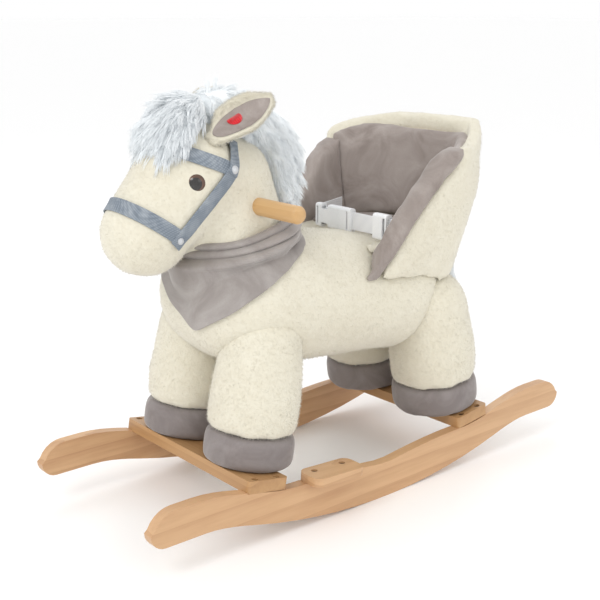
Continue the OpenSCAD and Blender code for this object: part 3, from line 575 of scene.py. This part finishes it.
# %% Head and neck
MUZZLE, MUZZLE_R = Vector((0, -282, 385)), 56
SKULL, SKULL_R = Vector((0, -212, 449)), 65
head = joined("plush_head", [
    hull_from_points(ball_points(MUZZLE, MUZZLE_R) + ball_points(SKULL, SKULL_R)),
    hull_from_points(ball_points((14, -262, 396), 40) + ball_points((-14, -262, 396), 40)),
    hull_from_points(ball_points((0, -150, 438), 52) + ball_points((0, -178, 450), 52)
                     + ball_points((0, -166, 335), 68) + ball_points((0, -136, 335), 68))])
remeshed(head, 0.005, 6)
stuffed(head, 0.003)
NOSE_RING = Vector((0, -0.285, 0.3953))
BAND_AXIS = Vector((0, 0.602, 0.798))
crease(head, lambda p: (p - NOSE_RING).dot(BAND_AXIS), 0.0012, 0.008)
ripple(head, 0.0012, 0.05, 9)
dress(head, CREAM, stands_for=("head",))
print("head", len(head.data.polygons), "faces")

# %% [markdown]
# The seat tub is a plush shell over firm foam. Its wall and rim come from the frame's part, remeshed so
# the rim rolls over. The rim is evened out and lifted, and one top corner slumps.

# %% Seat shell
def ease(value, start, width):
    t = max(0.0, min(1.0, (value - start) / width))
    return t * t * (3 - 2 * t)

def moved_by(piece, offset_at):
    moved = np.array([v.co + offset_at(v.co) for v in piece.data.vertices], dtype=np.float32)
    piece.data.vertices.foreach_set("co", moved.ravel())
    piece.data.update()
    return piece

def slumped_corner(p):
    """The left top corner of the tub has slumped forward and down, as soft foam does."""
    share = ease(p.x, 0.07, 0.06) * ease(p.z, 0.39, 0.09) * ease(p.y, 0.10, 0.08)
    return Vector((-0.007, -0.011, -0.013)) * share

shell = joined("plush_seat_shell", [merged_copy("seat_shell")])
remeshed(shell, 0.0045, 8)
soothed(shell, 26, lambda p: p.z > 0.43 and p.y > 0.1)
moved_by(shell, lambda p: Vector((0, 0, 0.008)) * (ease(p.z, 0.42, 0.05) * ease(p.y, 0.1, 0.05)))
moved_by(shell, slumped_corner)
stuffed(shell, 0.0025, pressure=2.5)
ripple(shell, 0.0015, 0.06, 11)
dress(shell, CREAM, stands_for=("seat_shell",))
print("seat shell", len(shell.data.polygons), "faces")

# %% [markdown]
# The velvet lining is three padded panels and a seat pad. Their corners are soft, and each one swells
# until it meets the next, which makes the deep fold between the wing and the backrest.

# %% Lining panels and seat pad
for part, voxel, cap in (("backrest_panel", 0.0045, 0.004), ("wing_panel_left", 0.004, 0.003),
                         ("wing_panel_right", 0.004, 0.0015)):
    panel = joined("velvet_" + part, [merged_copy(part)])
    remeshed(panel, voxel, 6)
    if part == "wing_panel_left":
        moved_by(panel, lambda p: Vector((0, 0.007, 0.008)) * ease(p.z, 0.415, 0.04)
                 + Vector((0, 0.006, 0)) * ease(p.y, 0.10, 0.02))
    if part == "wing_panel_right":
        moved_by(panel, lambda p: Vector((0.003, 0.003, -0.008))
                 + Vector((0, 0.005, 0)) * ease(p.y, 0.10, 0.02))
    moved_by(panel, slumped_corner)
    stuffed(panel, cap)
    ripple(panel, 0.0008, 0.06, 13)
    dress(panel, SEAT_VELVET, stands_for=(part,))
pad = joined("velvet_seat_cushion", [merged_copy("seat_cushion")])
remeshed(pad, 0.0025, 3)
stuffed(pad, 0.0015, subdivide=0)
dress(pad, SEAT_VELVET, stands_for=("seat_cushion",))
print("three lining panels and the seat pad")

# %% [markdown]
# Long pile is made of locks: a few hundred clumps of strands that leave a soft core, lean with the
# comb and droop. Each strand is a thin tapering curve, because a real strand is one, and all the
# curves of a lock set become one mesh.

# %% Locks of long pile
def surface_samples(piece, count, rng):
    mesh = piece.data
    mesh.calc_loop_triangles()
    corners = [[mesh.vertices[i] for i in tri.vertices] for tri in mesh.loop_triangles]
    areas = [tri.area for tri in mesh.loop_triangles]
    for a, b, c in rng.choices(corners, weights=areas, k=count):
        u, v = rng.random(), rng.random()
        if u + v > 1:
            u, v = 1 - u, 1 - v
        w = 1 - u - v
        normal = a.normal * w + b.normal * u + c.normal * v
        yield a.co * w + b.co * u + c.co * v, normal.normalized()

def wobble(rng, amount):
    return Vector([rng.uniform(-amount, amount) for _ in range(3)])

def locks(name, core, clumps, strands, length, thickness, comb, lift, droop, seed, keep=None):
    rng = random.Random(seed)
    curve = bpy.data.curves.new(name, "CURVE")
    curve.dimensions, curve.bevel_depth, curve.bevel_resolution = "3D", thickness, 0
    curve.use_fill_caps = False
    steps = 3
    for p, n in surface_samples(core, clumps, rng):
        if keep and not keep(p):
            continue
        heading = (n * lift + comb(p, n) + wobble(rng, 0.22)).normalized()
        reach = length * rng.uniform(0.65, 1.25) / steps
        spine = [Vector((0, 0, 0))]
        for _ in range(steps):
            spine.append(spine[-1] + heading * reach)
            heading = (heading + Vector((0, 0, -1.7 * droop)) + wobble(rng, 0.1)).normalized()
        for _ in range(strands):
            spread = wobble(rng, 0.0042)
            spread -= n * spread.dot(n)
            stray = wobble(rng, 0.0028)
            spline = curve.splines.new("POLY")
            spline.points.add(steps)
            for k, offset in enumerate(spine):
                t = k / steps
                at = p - n * 0.0015 + offset + spread * (1 - 0.7 * t) + stray * t
                spline.points[k].co = (*at, 1)
                spline.points[k].radius = 1.0 - 0.25 * t if k < steps else 0.12
    made = bpy.data.objects.new(name, curve)
    scene.collection.objects.link(made)
    mesh = bpy.data.meshes.new_from_object(made.evaluated_get(bpy.context.evaluated_depsgraph_get()))
    bpy.data.objects.remove(made)
    piece = bpy.data.objects.new(name, mesh)
    scene.collection.objects.link(piece)
    print(name, "has", len(mesh.polygons), "faces")
    return piece

def shrunk_core(name, part, voxel, inset):
    core = joined(name, [merged_copy(part)])
    remeshed(core, voxel, 4)
    return pushed(core, lambda co: -inset)

# %% Forelock
def forelock_comb(p, n):
    front = max(0.0, min(1.0, (-0.225 - p.y) / 0.04))
    return Vector((0.5 * p.x / 0.04, -0.75 + 0.3 * front, -0.15 - 0.95 * front))

forelock_core = shrunk_core("forelock_core", "forelock", 0.004, 0.005)
moved_by(forelock_core, lambda p: Vector((0, -0.1 * (p.y + 0.201), -0.06 * (p.z - 0.473))))
dress(forelock_core, SNOW, stands_for=("forelock",))
forelock = locks("forelock_locks", forelock_core, 700, 12, 0.029, 0.00042, forelock_comb, 0.36, 0.16, 21,
                 keep=lambda p: p.z > 0.474)  # none grow down over the eyes
dress(forelock, SNOW)

# %% Mane
def mane_comb(p, n):
    back = max(0.0, min(1.0, (p.y + 0.16) / 0.08))
    return Vector((0.55 * p.x / 0.03, 0.25 + 0.35 * back, -0.25 - 0.75 * back))

mane_core = shrunk_core("mane_core", "mane", 0.004, 0.006)
dress(mane_core, SNOW, stands_for=("mane",))
mane = locks("mane_locks", mane_core, 680, 12, 0.021, 0.00042, mane_comb, 0.34, 0.16, 22)
dress(mane, SNOW)

# %% Tail
tail_core = shrunk_core("tail_core", "tail", 0.005, 0.008)
dress(tail_core, SNOW, stands_for=("tail",))
tail = locks("tail_locks", tail_core, 520, 10, 0.028, 0.00045, lambda p, n: Vector((0, 0, -1.3)), 0.12, 0.12,
             23, keep=lambda p: p.z < 0.325)
dress(tail, SNOW)

# %% [markdown]
# The short pile is told by its outline: thousands of three-sided tufts, a few millimetres long, are
# scattered over each plush skin by a Geometry Nodes modifier, leaning down as fur does.

# %% Short pile tufts
def tuft_shape():
    bm = bmesh.new()
    bmesh.ops.create_cone(bm, cap_ends=False, segments=3, radius1=1.0, radius2=0.0, depth=1.0)
    bmesh.ops.translate(bm, verts=bm.verts, vec=(0, 0, 0.5))
    mesh = bpy.data.meshes.new("tuft")
    bm.to_mesh(mesh)
    bm.free()
    for face in mesh.polygons:
        face.use_smooth = True
    return bpy.data.objects.new("tuft", mesh)

TUFT = tuft_shape()

def scatter_tree(density, height, width, lean, seed):
    tree = bpy.data.node_groups.new("scatter_tufts", "GeometryNodeTree")
    tree.interface.new_socket(name="Geometry", in_out="INPUT", socket_type="NodeSocketGeometry")
    tree.interface.new_socket(name="Geometry", in_out="OUTPUT", socket_type="NodeSocketGeometry")
    gin, gout = node(tree, "NodeGroupInput"), node(tree, "NodeGroupOutput")
    points = node(tree, "GeometryNodeDistributePointsOnFaces")
    points.inputs["Density"].default_value = density
    points.inputs["Seed"].default_value = seed
    shape = node(tree, "GeometryNodeObjectInfo")
    shape.inputs["Object"].default_value = TUFT
    stray = node(tree, "FunctionNodeRandomValue", data_type="FLOAT_VECTOR")
    stray.inputs["Min"].default_value = (-0.6,) * 3
    stray.inputs["Max"].default_value = (0.6,) * 3
    stray.inputs["Seed"].default_value = seed + 1
    size = node(tree, "FunctionNodeRandomValue", data_type="FLOAT_VECTOR")
    size.inputs["Min"].default_value = (width * 0.8, width * 0.8, height * 0.6)
    size.inputs["Max"].default_value = (width * 1.2, width * 1.2, height * 1.2)
    size.inputs["Seed"].default_value = seed + 2
    leaning = node(tree, "ShaderNodeVectorMath", operation="ADD")
    leaning.inputs[1].default_value = lean
    strayed = node(tree, "ShaderNodeVectorMath", operation="ADD")
    turn = node(tree, "FunctionNodeAlignRotationToVector", axis="Z")
    place = node(tree, "GeometryNodeInstanceOnPoints")
    real = node(tree, "GeometryNodeRealizeInstances")
    links = tree.links
    links.new(gin.outputs["Geometry"], points.inputs["Mesh"])
    links.new(points.outputs["Points"], place.inputs["Points"])
    links.new(points.outputs["Normal"], leaning.inputs[0])
    links.new(leaning.outputs["Vector"], strayed.inputs[0])
    links.new(stray.outputs["Value"], strayed.inputs[1])
    links.new(strayed.outputs["Vector"], turn.inputs["Vector"])
    links.new(shape.outputs["Geometry"], place.inputs["Instance"])
    links.new(turn.outputs["Rotation"], place.inputs["Rotation"])
    links.new(size.outputs["Value"], place.inputs["Scale"])
    links.new(place.outputs["Instances"], real.inputs["Geometry"])
    links.new(real.outputs["Geometry"], gout.inputs["Geometry"])
    return tree

def tree_of(pieces):
    bm = bmesh.new()
    for piece in pieces:
        bm.from_mesh(piece.data)
    tree = BVHTree.FromBMesh(bm)
    bm.free()
    return tree

TUFT_WIDTH = 0.00025

def pile_on(piece, count, seed, height=0.003, lean=(0, 0, -0.5), bare_near=(), reach=0.004):
    """Scatters about count tufts over a cream skin, but none within reach of the pieces that cover it."""
    bm = bmesh.new()
    bm.from_mesh(piece.data)
    if bare_near:
        cover = tree_of(bare_near)
        hidden = [f for f in bm.faces if cover.find_nearest(f.calc_center_median(), reach)[0] is not None]
        bmesh.ops.delete(bm, geom=hidden, context="FACES")
    tufts = as_object(piece.name + "_tufts", bm)
    area = sum(face.area for face in tufts.data.polygons)
    scatter = tufts.modifiers.new("scatter", "NODES")
    scatter.node_group = scatter_tree(count / area, height, TUFT_WIDTH, lean, seed)
    baked(tufts)
    dress(tufts, LIGHTER_CREAM_TUFTS)
    print(tufts.name, len(tufts.data.polygons), "tuft faces")

for i, leg in enumerate(LEGS.values()):
    pile_on(leg, 7000, 34 + i)

# %% [markdown]
# An ear is a plush leaf that folds along its length, with a velvet lining inside. The leaf is drawn flat
# as a grid in the ear's own frame, folded, thickened with solidify and remeshed to round its rim. The
# lining is a narrower leaf that is laid on the stuffed ear's skin, and the red patch sits on that skin.

# %% Ear frame and leaf
EAR_BASE = Vector((0.046, -0.212, 0.493))
EAR_TURN = Euler([math.radians(a) for a in (32.7, 33.6, 9.9)], "XYZ").to_matrix().to_4x4()
# The outline's points are the distance along the ear and half its width there, in millimetres.
EAR_OUTLINE = [(-6, 8), (0, 11), (10, 14.5), (28, 19.5), (46, 22), (62, 20), (76, 14.5), (86, 9), (92, 4),
               (95, 1)]
VALLEY = -0.6

def mirrored(side):
    return Matrix.Scale(-1, 4, (1, 0, 0)) if side == "right" else Matrix.Identity(4)

def ear_place(side):
    return mirrored(side) @ Matrix.Translation(EAR_BASE) @ EAR_TURN

def on_line(points, x):
    """The height at x of a line through (x, height) points."""
    for (x0, y0), (x1, y1) in zip(points, points[1:]):
        if x <= x1:
            return y0 + (y1 - y0) * (x - x0) / (x1 - x0)
    return points[-1][1]

def fold_height(u):
    """Height of the folded leaf across its width, where u runs from -1 to 1."""
    if u > VALLEY:
        return 6.4 + 4.6 * ((u - VALLEY) / (1 - VALLEY)) ** 1.4
    return 6.4 + 12.0 * ((VALLEY - u) / (1 + VALLEY)) ** 0.7

def leaf_mesh(width_scale, y_range, thickness, shift=0.0, skin=None):
    bm = bmesh.new()
    bmesh.ops.create_grid(bm, x_segments=22, y_segments=34, size=1)
    for v in bm.verts:
        u, t = v.co.x, (v.co.y + 1) / 2
        y = y_range[0] + (y_range[1] - y_range[0]) * t
        half = on_line(EAR_OUTLINE, y) * (math.sqrt(1.02 - abs(2 * t - 1) ** 5) if skin else 1)
        x = (u * width_scale + shift) * half
        flat = max(0.0, min(1.0, (y - 4) / 20)) * max(0.3, min(1.0, (102 - y) / 30))
        z = 5.9 + (fold_height(u * width_scale + shift) - 5.9) * flat
        v.co = Vector((x, y, z)) / 1000
        if skin:
            v.co.z = top_of(skin, v.co) + 0.0004
    bmesh.ops.recalc_face_normals(bm, faces=bm.faces)
    if sum(f.normal.z for f in bm.faces) < 0:
        bmesh.ops.reverse_faces(bm, faces=bm.faces)
    if skin:
        for _ in range(3):
            bmesh.ops.smooth_vert(bm, verts=bm.verts, factor=0.5, use_axis_z=True)
    bmesh.ops.solidify(bm, geom=bm.faces, thickness=thickness / 1000 * (-1 if skin else 1))
    bmesh.ops.recalc_face_normals(bm, faces=bm.faces)
    return bm

def top_of(skin, p):
    """Height of the ear's skin over a point, both in the ear's own frame."""
    hit = skin.ray_cast(Vector((p.x, p.y, 0.06)), Vector((0, 0, -1)))[0]
    return hit.z if hit else p.z

# %% Ears, linings and patches
def moved_to(bm, place):
    bmesh.ops.transform(bm, matrix=place, verts=bm.verts)
    if place.determinant() < 0:
        bmesh.ops.reverse_faces(bm, faces=bm.faces)
    return bm

PATCH_THICKNESS = 0.0016

def patch_mesh():
    bm = bmesh.new()
    bmesh.ops.create_circle(bm, cap_ends=True, segments=40, radius=0.0096)
    bmesh.ops.bisect_plane(bm, geom=bm.verts[:] + bm.edges[:] + bm.faces[:], clear_inner=True,
                           plane_co=(-0.0035, 0, 0), plane_no=(1, 0, 0))
    made = bmesh.ops.extrude_face_region(bm, geom=bm.faces[:])["geom"]
    top = [g for g in made if isinstance(g, bmesh.types.BMVert)]
    bmesh.ops.translate(bm, verts=top, vec=(0, 0, PATCH_THICKNESS))
    bmesh.ops.recalc_face_normals(bm, faces=bm.faces)
    bmesh.ops.bevel(bm, geom=bm.edges[:], offset=0.0005, offset_type="OFFSET", affect="EDGES", segments=2,
                    profile=0.5, material=-1)
    return bm

for side in ("left", "right"):
    place = ear_place(side)
    ear = joined("plush_ear_" + side, [moved_to(leaf_mesh(1.0, (-6, 95), 9), place)])
    remeshed(ear, 0.0022, 6)
    stuffed(ear, 0.0015, subdivide=0)
    dress(ear, CREAM, stands_for=("ear_" + side,))
    local = bmesh.new()
    local.from_mesh(ear.data)
    bmesh.ops.transform(local, matrix=place.inverted(), verts=local.verts)
    ear_skin = BVHTree.FromBMesh(local)
    local.free()
    leaf = leaf_mesh(0.73, (3, 89), 1.5, shift=0.13, skin=ear_skin)
    lining = joined("velvet_ear_lining_" + side, [moved_to(leaf, place)])
    dress(lining, SEAT_VELVET, stands_for=("ear_lining_" + side,))
    pile_on(ear, 6000, 51, height=0.0034, lean=(0, 0, -0.2), bare_near=[lining], reach=0.003)
    spot = Vector((-0.001, 0.036, 0))
    spot.z = top_of(ear_skin, spot) + PATCH_THICKNESS
    tilt = Matrix.Translation(spot) @ Matrix.Rotation(math.radians(-7), 4, "Y")
    patch = joined("red_patch_" + side, [moved_to(patch_mesh(), place @ tilt)])
    dress(patch, RED, "button_" + side, ("ear_button_" + side,))
print("two ears, two linings, two patches")

# %% [markdown]
# The eyes are moulded domes on a stem: a brown ring round a black pupil under one glossy coat. A
# profile is spun round the eye's own axis, and the faces near the middle get the pupil's finish.

# %% Eyes
def spun(profile, scale, steps):
    """A profile of (radius, height) points, scaled to metres and spun round Z."""
    bm = bmesh.new()
    ring = [bm.verts.new((r * scale, 0, z * scale)) for r, z in profile]
    edges = [bm.edges.new(pair) for pair in zip(ring, ring[1:])]
    bmesh.ops.spin(bm, geom=ring + edges, axis=(0, 0, 1), cent=(0, 0, 0), steps=steps, angle=math.tau,
                   use_merge=True)
    bmesh.ops.remove_doubles(bm, verts=bm.verts, dist=1e-6)
    bmesh.ops.recalc_face_normals(bm, faces=bm.faces)
    return bm

PUPIL_RADIUS = 0.008

def eye_place(side):
    turn = Matrix.Rotation(math.radians(-29.5), 4, "Z") @ Matrix.Rotation(math.radians(93), 4, "Y")
    cocked = Matrix.Rotation(math.radians(6), 4, Vector((0.495, -0.869, 0)))
    out = Matrix.Translation((0, 0, SKULL_R / 1000 - 0.0006))
    return mirrored(side) @ Matrix.Translation(SKULL / 1000) @ turn @ out @ cocked

def eye_mesh():
    bm = spun([(12.5, -3.0), (12.6, 0.6), (12.0, 1.8), (10.6, 3.6), (9.3, 4.85), (7.7, 5.9), (6.0, 6.75),
               (4.0, 7.4), (2.0, 7.8), (0.0, 7.9)], 0.001, 48)
    for face in bm.faces:
        middle = face.calc_center_median()
        face.material_index = 1 if math.hypot(middle.x, middle.y) < PUPIL_RADIUS else 0
    return bm

eyes = joined("glossy_eyes", [moved_to(eye_mesh(), eye_place(side)) for side in ("left", "right")])
finish_of_face = [face.material_index for face in eyes.data.polygons]
dress(eyes, IRIS, stands_for=("eyes",))
eyes.data.materials.append(PUPIL)
eyes.data.polygons.foreach_set("material_index", finish_of_face)
print("two eyes with brown rings")

# %% [markdown]
# The bridle lies on the head, so its straps are cut to the skin: a grid of rays finds the surface
# under the strap, the grid is set just above it, and solidify gives the webbing its thickness.

# %% Straps on a skin
STRAPS = []
SKIN = tree_of([head])
HEAD_MIDDLE = Vector((0, -0.22, 0.42))
WEBBING = 0.0018

def strap(name, rays, columns, stands_for, clear=0.0012):
    """Lays a strap where the rays meet the head, the given distance clear of its skin."""
    bm = bmesh.new()
    bmesh.ops.create_grid(bm, x_segments=columns, y_segments=6, size=1)
    for v in bm.verts:
        origin, direction = rays((v.co.x + 1) / 2, v.co.y)
        hit = SKIN.ray_cast(origin, direction)[0]
        v.co = (hit if hit else origin + direction * 0.05) - direction * clear
    evened(bm, [v for v in bm.verts if not v.is_boundary], 3)
    bmesh.ops.recalc_face_normals(bm, faces=bm.faces)
    sample = next(iter(bm.faces))
    if sample.normal.dot(sample.calc_center_median() - HEAD_MIDDLE) < 0:
        bmesh.ops.reverse_faces(bm, faces=bm.faces)
    bmesh.ops.solidify(bm, geom=bm.faces, thickness=-WEBBING)
    bmesh.ops.recalc_face_normals(bm, faces=bm.faces)
    piece = as_object(name, bm)
    edge = piece.modifiers.new("soft_edge", "BEVEL")
    edge.width, edge.segments = 0.0006, 2
    edge.limit_method, edge.angle_limit = "ANGLE", math.radians(50)
    dress(piece, BRIDLE, stands_for=(stands_for,))
    STRAPS.append(piece)

def ring_rays(centre, turn_x, start, sweep, width):
    turn = Matrix.Rotation(math.radians(turn_x), 3, "X")
    def rays(t, across):
        a = math.radians(start + sweep * t)
        out = turn @ Vector((math.cos(a), math.sin(a), 0))
        origin = Vector(centre) / 1000 + turn @ Vector((0, 0, across * width / 2000))
        return origin + out * 0.12, -out
    return rays

def side_rays(low, high, width, side):
    low, high = Vector(low) / 1000, Vector(high) / 1000
    along = (high - low).normalized()
    across_way = Vector((0, -along.z, along.y))
    def rays(t, across):
        p = low + (high - low) * t + across_way * across * width / 2000
        return Vector((side * 0.16, p.y, p.z)), Vector((-side, 0, 0))
    return rays

strap("noseband_webbing", ring_rays((0, -285, 395.3), -37, 162, 216, 18), 96, "noseband")
strap("browband_webbing", ring_rays((0, -209, 463.8), -23.4, 164, 212, 17), 72, "browband")
for side, sign in (("left", 1), ("right", -1)):
    cheek = side_rays((0, -276, 374), (0, -193, 461), 17, sign)
    strap("cheek_strap_webbing_" + side, cheek, 44, "cheek_straps", clear=0.0022)
    start, sweep = (4, 50) if sign > 0 else (176, -50)
    crown = ring_rays((0, -202.5, 449), 56, start, sweep, 17)
    strap("crown_strap_webbing_" + side, crown, 32, "crown_straps", clear=0.003)
print("bridle is strapped on")

# %% Rivets
RIVET = [(1.0, -0.35), (1.0, 0.0), (0.93, 0.12), (0.72, 0.18), (0.66, 0.26), (0.5, 0.42), (0.25, 0.5),
         (0.0, 0.52)]

def rivet_at(y, z, side, radius):
    """A domed rivet that stands on the webbing, over the head's skin at this height and length."""
    hit, normal, _, _ = SKIN.ray_cast(Vector((side * 0.16, y / 1000, z / 1000)), Vector((-side, 0, 0)))
    turn = normal.to_track_quat("Z", "Y").to_matrix().to_4x4()
    return moved_to(spun(RIVET, radius, 32), Matrix.Translation(hit + normal * 0.0052) @ turn)

spots = ((-270, 381, 0.0042), (-196, 458, 0.0052))
rivets = joined("bridle_rivets", [rivet_at(y, z, sign, r) for sign in (1, -1) for y, z, r in spots])
dress(rivets, STEEL, stands_for=("rivets",))
print("four rivets")

# %% [markdown]
# The bandana is one square of velvet, folded over and wound round the neck. Its top gathers in rolls
# and its corner falls in a triangle over the chest. Each column of the sheet starts in the rolls and
# then hangs outside the chest, just clear of the plush.

# %% Bandana
NECK = Vector((0, -0.150, 0))
CHEST = tree_of([body])
# The rolls' section, as (distance out from the neck, height) in millimetres, from the top down.
ROLLS = [(-11, 9), (-7, 14), (-1, 15.5), (4, 13.5), (6, 10), (4.5, 7.2), (0.5, 6.0), (4.5, 5.4),
         (9, 3.6), (11, 0.2), (9.5, -2.8), (4.5, -4.0), (9.5, -5.0), (13.5, -7.2), (15, -10.5), (14.5, -14)]
# The flap's lower edge, as (degrees round the neck from its front, height in millimetres).
FLAP_EDGE = [(-180, 354), (-120, 346), (-60, 325), (-38, 309), (-25, 297), (-13, 282), (3, 268), (12, 257),
             (17, 254), (24, 257), (39.5, 272), (53, 286), (63.5, 300), (75.5, 313), (89, 326), (108, 338),
             (134, 349), (180, 354)]
ROLL_HEIGHT, FLAP_TOP = 357, 343

def bandana_point(t, row, rows):
    """One point of the sheet: t goes once round the neck, and row goes from the rolls to the flap's edge."""
    degrees = -180 + 360 * t
    a = math.radians(degrees)
    out = Vector((math.sin(a), -math.cos(a), 0))
    tube = 75 + 3 * abs(math.cos(a))
    wander = 1.6 * math.sin(3 * a + 0.6) + 1.1 * math.sin(5 * a)
    tilt = -8 + 17 * (1 - math.cos(a))
    if row < len(ROLLS):
        r, z = ROLLS[row]
        k = row / (len(ROLLS) - 1)
        deep = 1 + 0.35 * math.sin(2 * a + 0.4 * row)
        height = (ROLL_HEIGHT + tilt + z + wander * (1 - k)) / 1000
        return NECK + out * (tube + r * deep + wander * (k - 0.5)) / 1000 + Vector((0, 0, height))
    s = (row - len(ROLLS) + 1) / (rows - len(ROLLS))
    top = FLAP_TOP + tilt
    low = on_line(FLAP_EDGE, degrees)
    z = (top + (low - top) * s) / 1000
    origin = NECK + out * 0.25 + Vector((0, 0, z))
    hit = CHEST.ray_cast(origin, -out)[0]
    chest = (hit - NECK).to_2d().length if hit else 0.0
    hang = (tube + 13.5) / 1000 * (1 - s) + 0.074 * s
    fold = 0.0022 * math.sin(4.2 * a + 2.2 * s) * math.sin(math.pi * min(1, s * 1.2))
    fold += 0.0012 * math.sin(9 * a - 3 * s) * (1 - s)
    widest = (tube + 17 + 18 * math.exp(-((abs(degrees) - 65) / 35) ** 2)) / 1000
    reach = max(hang, min(chest + 0.0048, widest)) + fold
    return NECK + out * reach + Vector((0, 0, z))

def bandana_sheet():
    columns, flap_rows = 144, 26
    rows = len(ROLLS) + flap_rows
    bm = bmesh.new()
    bmesh.ops.create_grid(bm, x_segments=columns, y_segments=rows - 1, size=1)
    for v in bm.verts:
        t, row = (v.co.x + 1) / 2, round((1 - (v.co.y + 1) / 2) * (rows - 1))
        v.co = bandana_point(t, row, rows)
    bmesh.ops.remove_doubles(bm, verts=bm.verts, dist=1e-5)
    evened(bm, bm.verts, 1, factor=0.3)
    bmesh.ops.recalc_face_normals(bm, faces=bm.faces)
    if sum(f.normal.dot(f.calc_center_median() - NECK - Vector((0, 0, 0.3))) for f in bm.faces) < 0:
        bmesh.ops.reverse_faces(bm, faces=bm.faces)
    return bm

sheet = as_object("velvet_bandana", bandana_sheet())
thick = sheet.modifiers.new("cloth", "SOLIDIFY")
thick.thickness, thick.offset = 0.0013, 0.0
finer = sheet.modifiers.new("finer", "SUBSURF")
finer.levels = finer.render_levels = 1
dress(sheet, BANDANA_VELVET, stands_for=("bandana",))

# %% [markdown]
# The body, the head and the tub get their tufts now, because the skin under the bandana, the bridle
# and the eyes stays bare. A tuft there would stand through the piece that covers it.

# %% Tufts on the skins that other pieces cover
pile_on(body, 17000, 31, bare_near=[sheet])
pile_on(head, 11000, 32, height=0.0024, bare_near=STRAPS + [eyes, sheet], reach=0.003)
pile_on(shell, 13000, 33)

# %% [markdown]
# The lap belt is white webbing with a moulded side-release buckle and a slider. They keep the frame's
# shapes, because they slide in each other, with softened edges and a woven finish on the straps.

# %% Belt and buckle
for part, owner in (("belt_strap_right", "horse"), ("belt_strap_anchor", "horse"), ("belt_strap_left", "plug")):
    rounded_copy(part, BELT, 0.0006, owner, segments=2)
for part, owner, width in (("buckle_socket", "horse", 0.0009), ("buckle_plug", "plug", 0.0009),
                           ("buckle_arm_upper", "arm_upper", 0.0007), ("buckle_arm_lower", "arm_lower", 0.0007),
                           ("belt_slider", "slider", 0.0009)):
    rounded_copy(part, PLASTIC, width, owner, segments=2)
print("belt, buckle and slider")
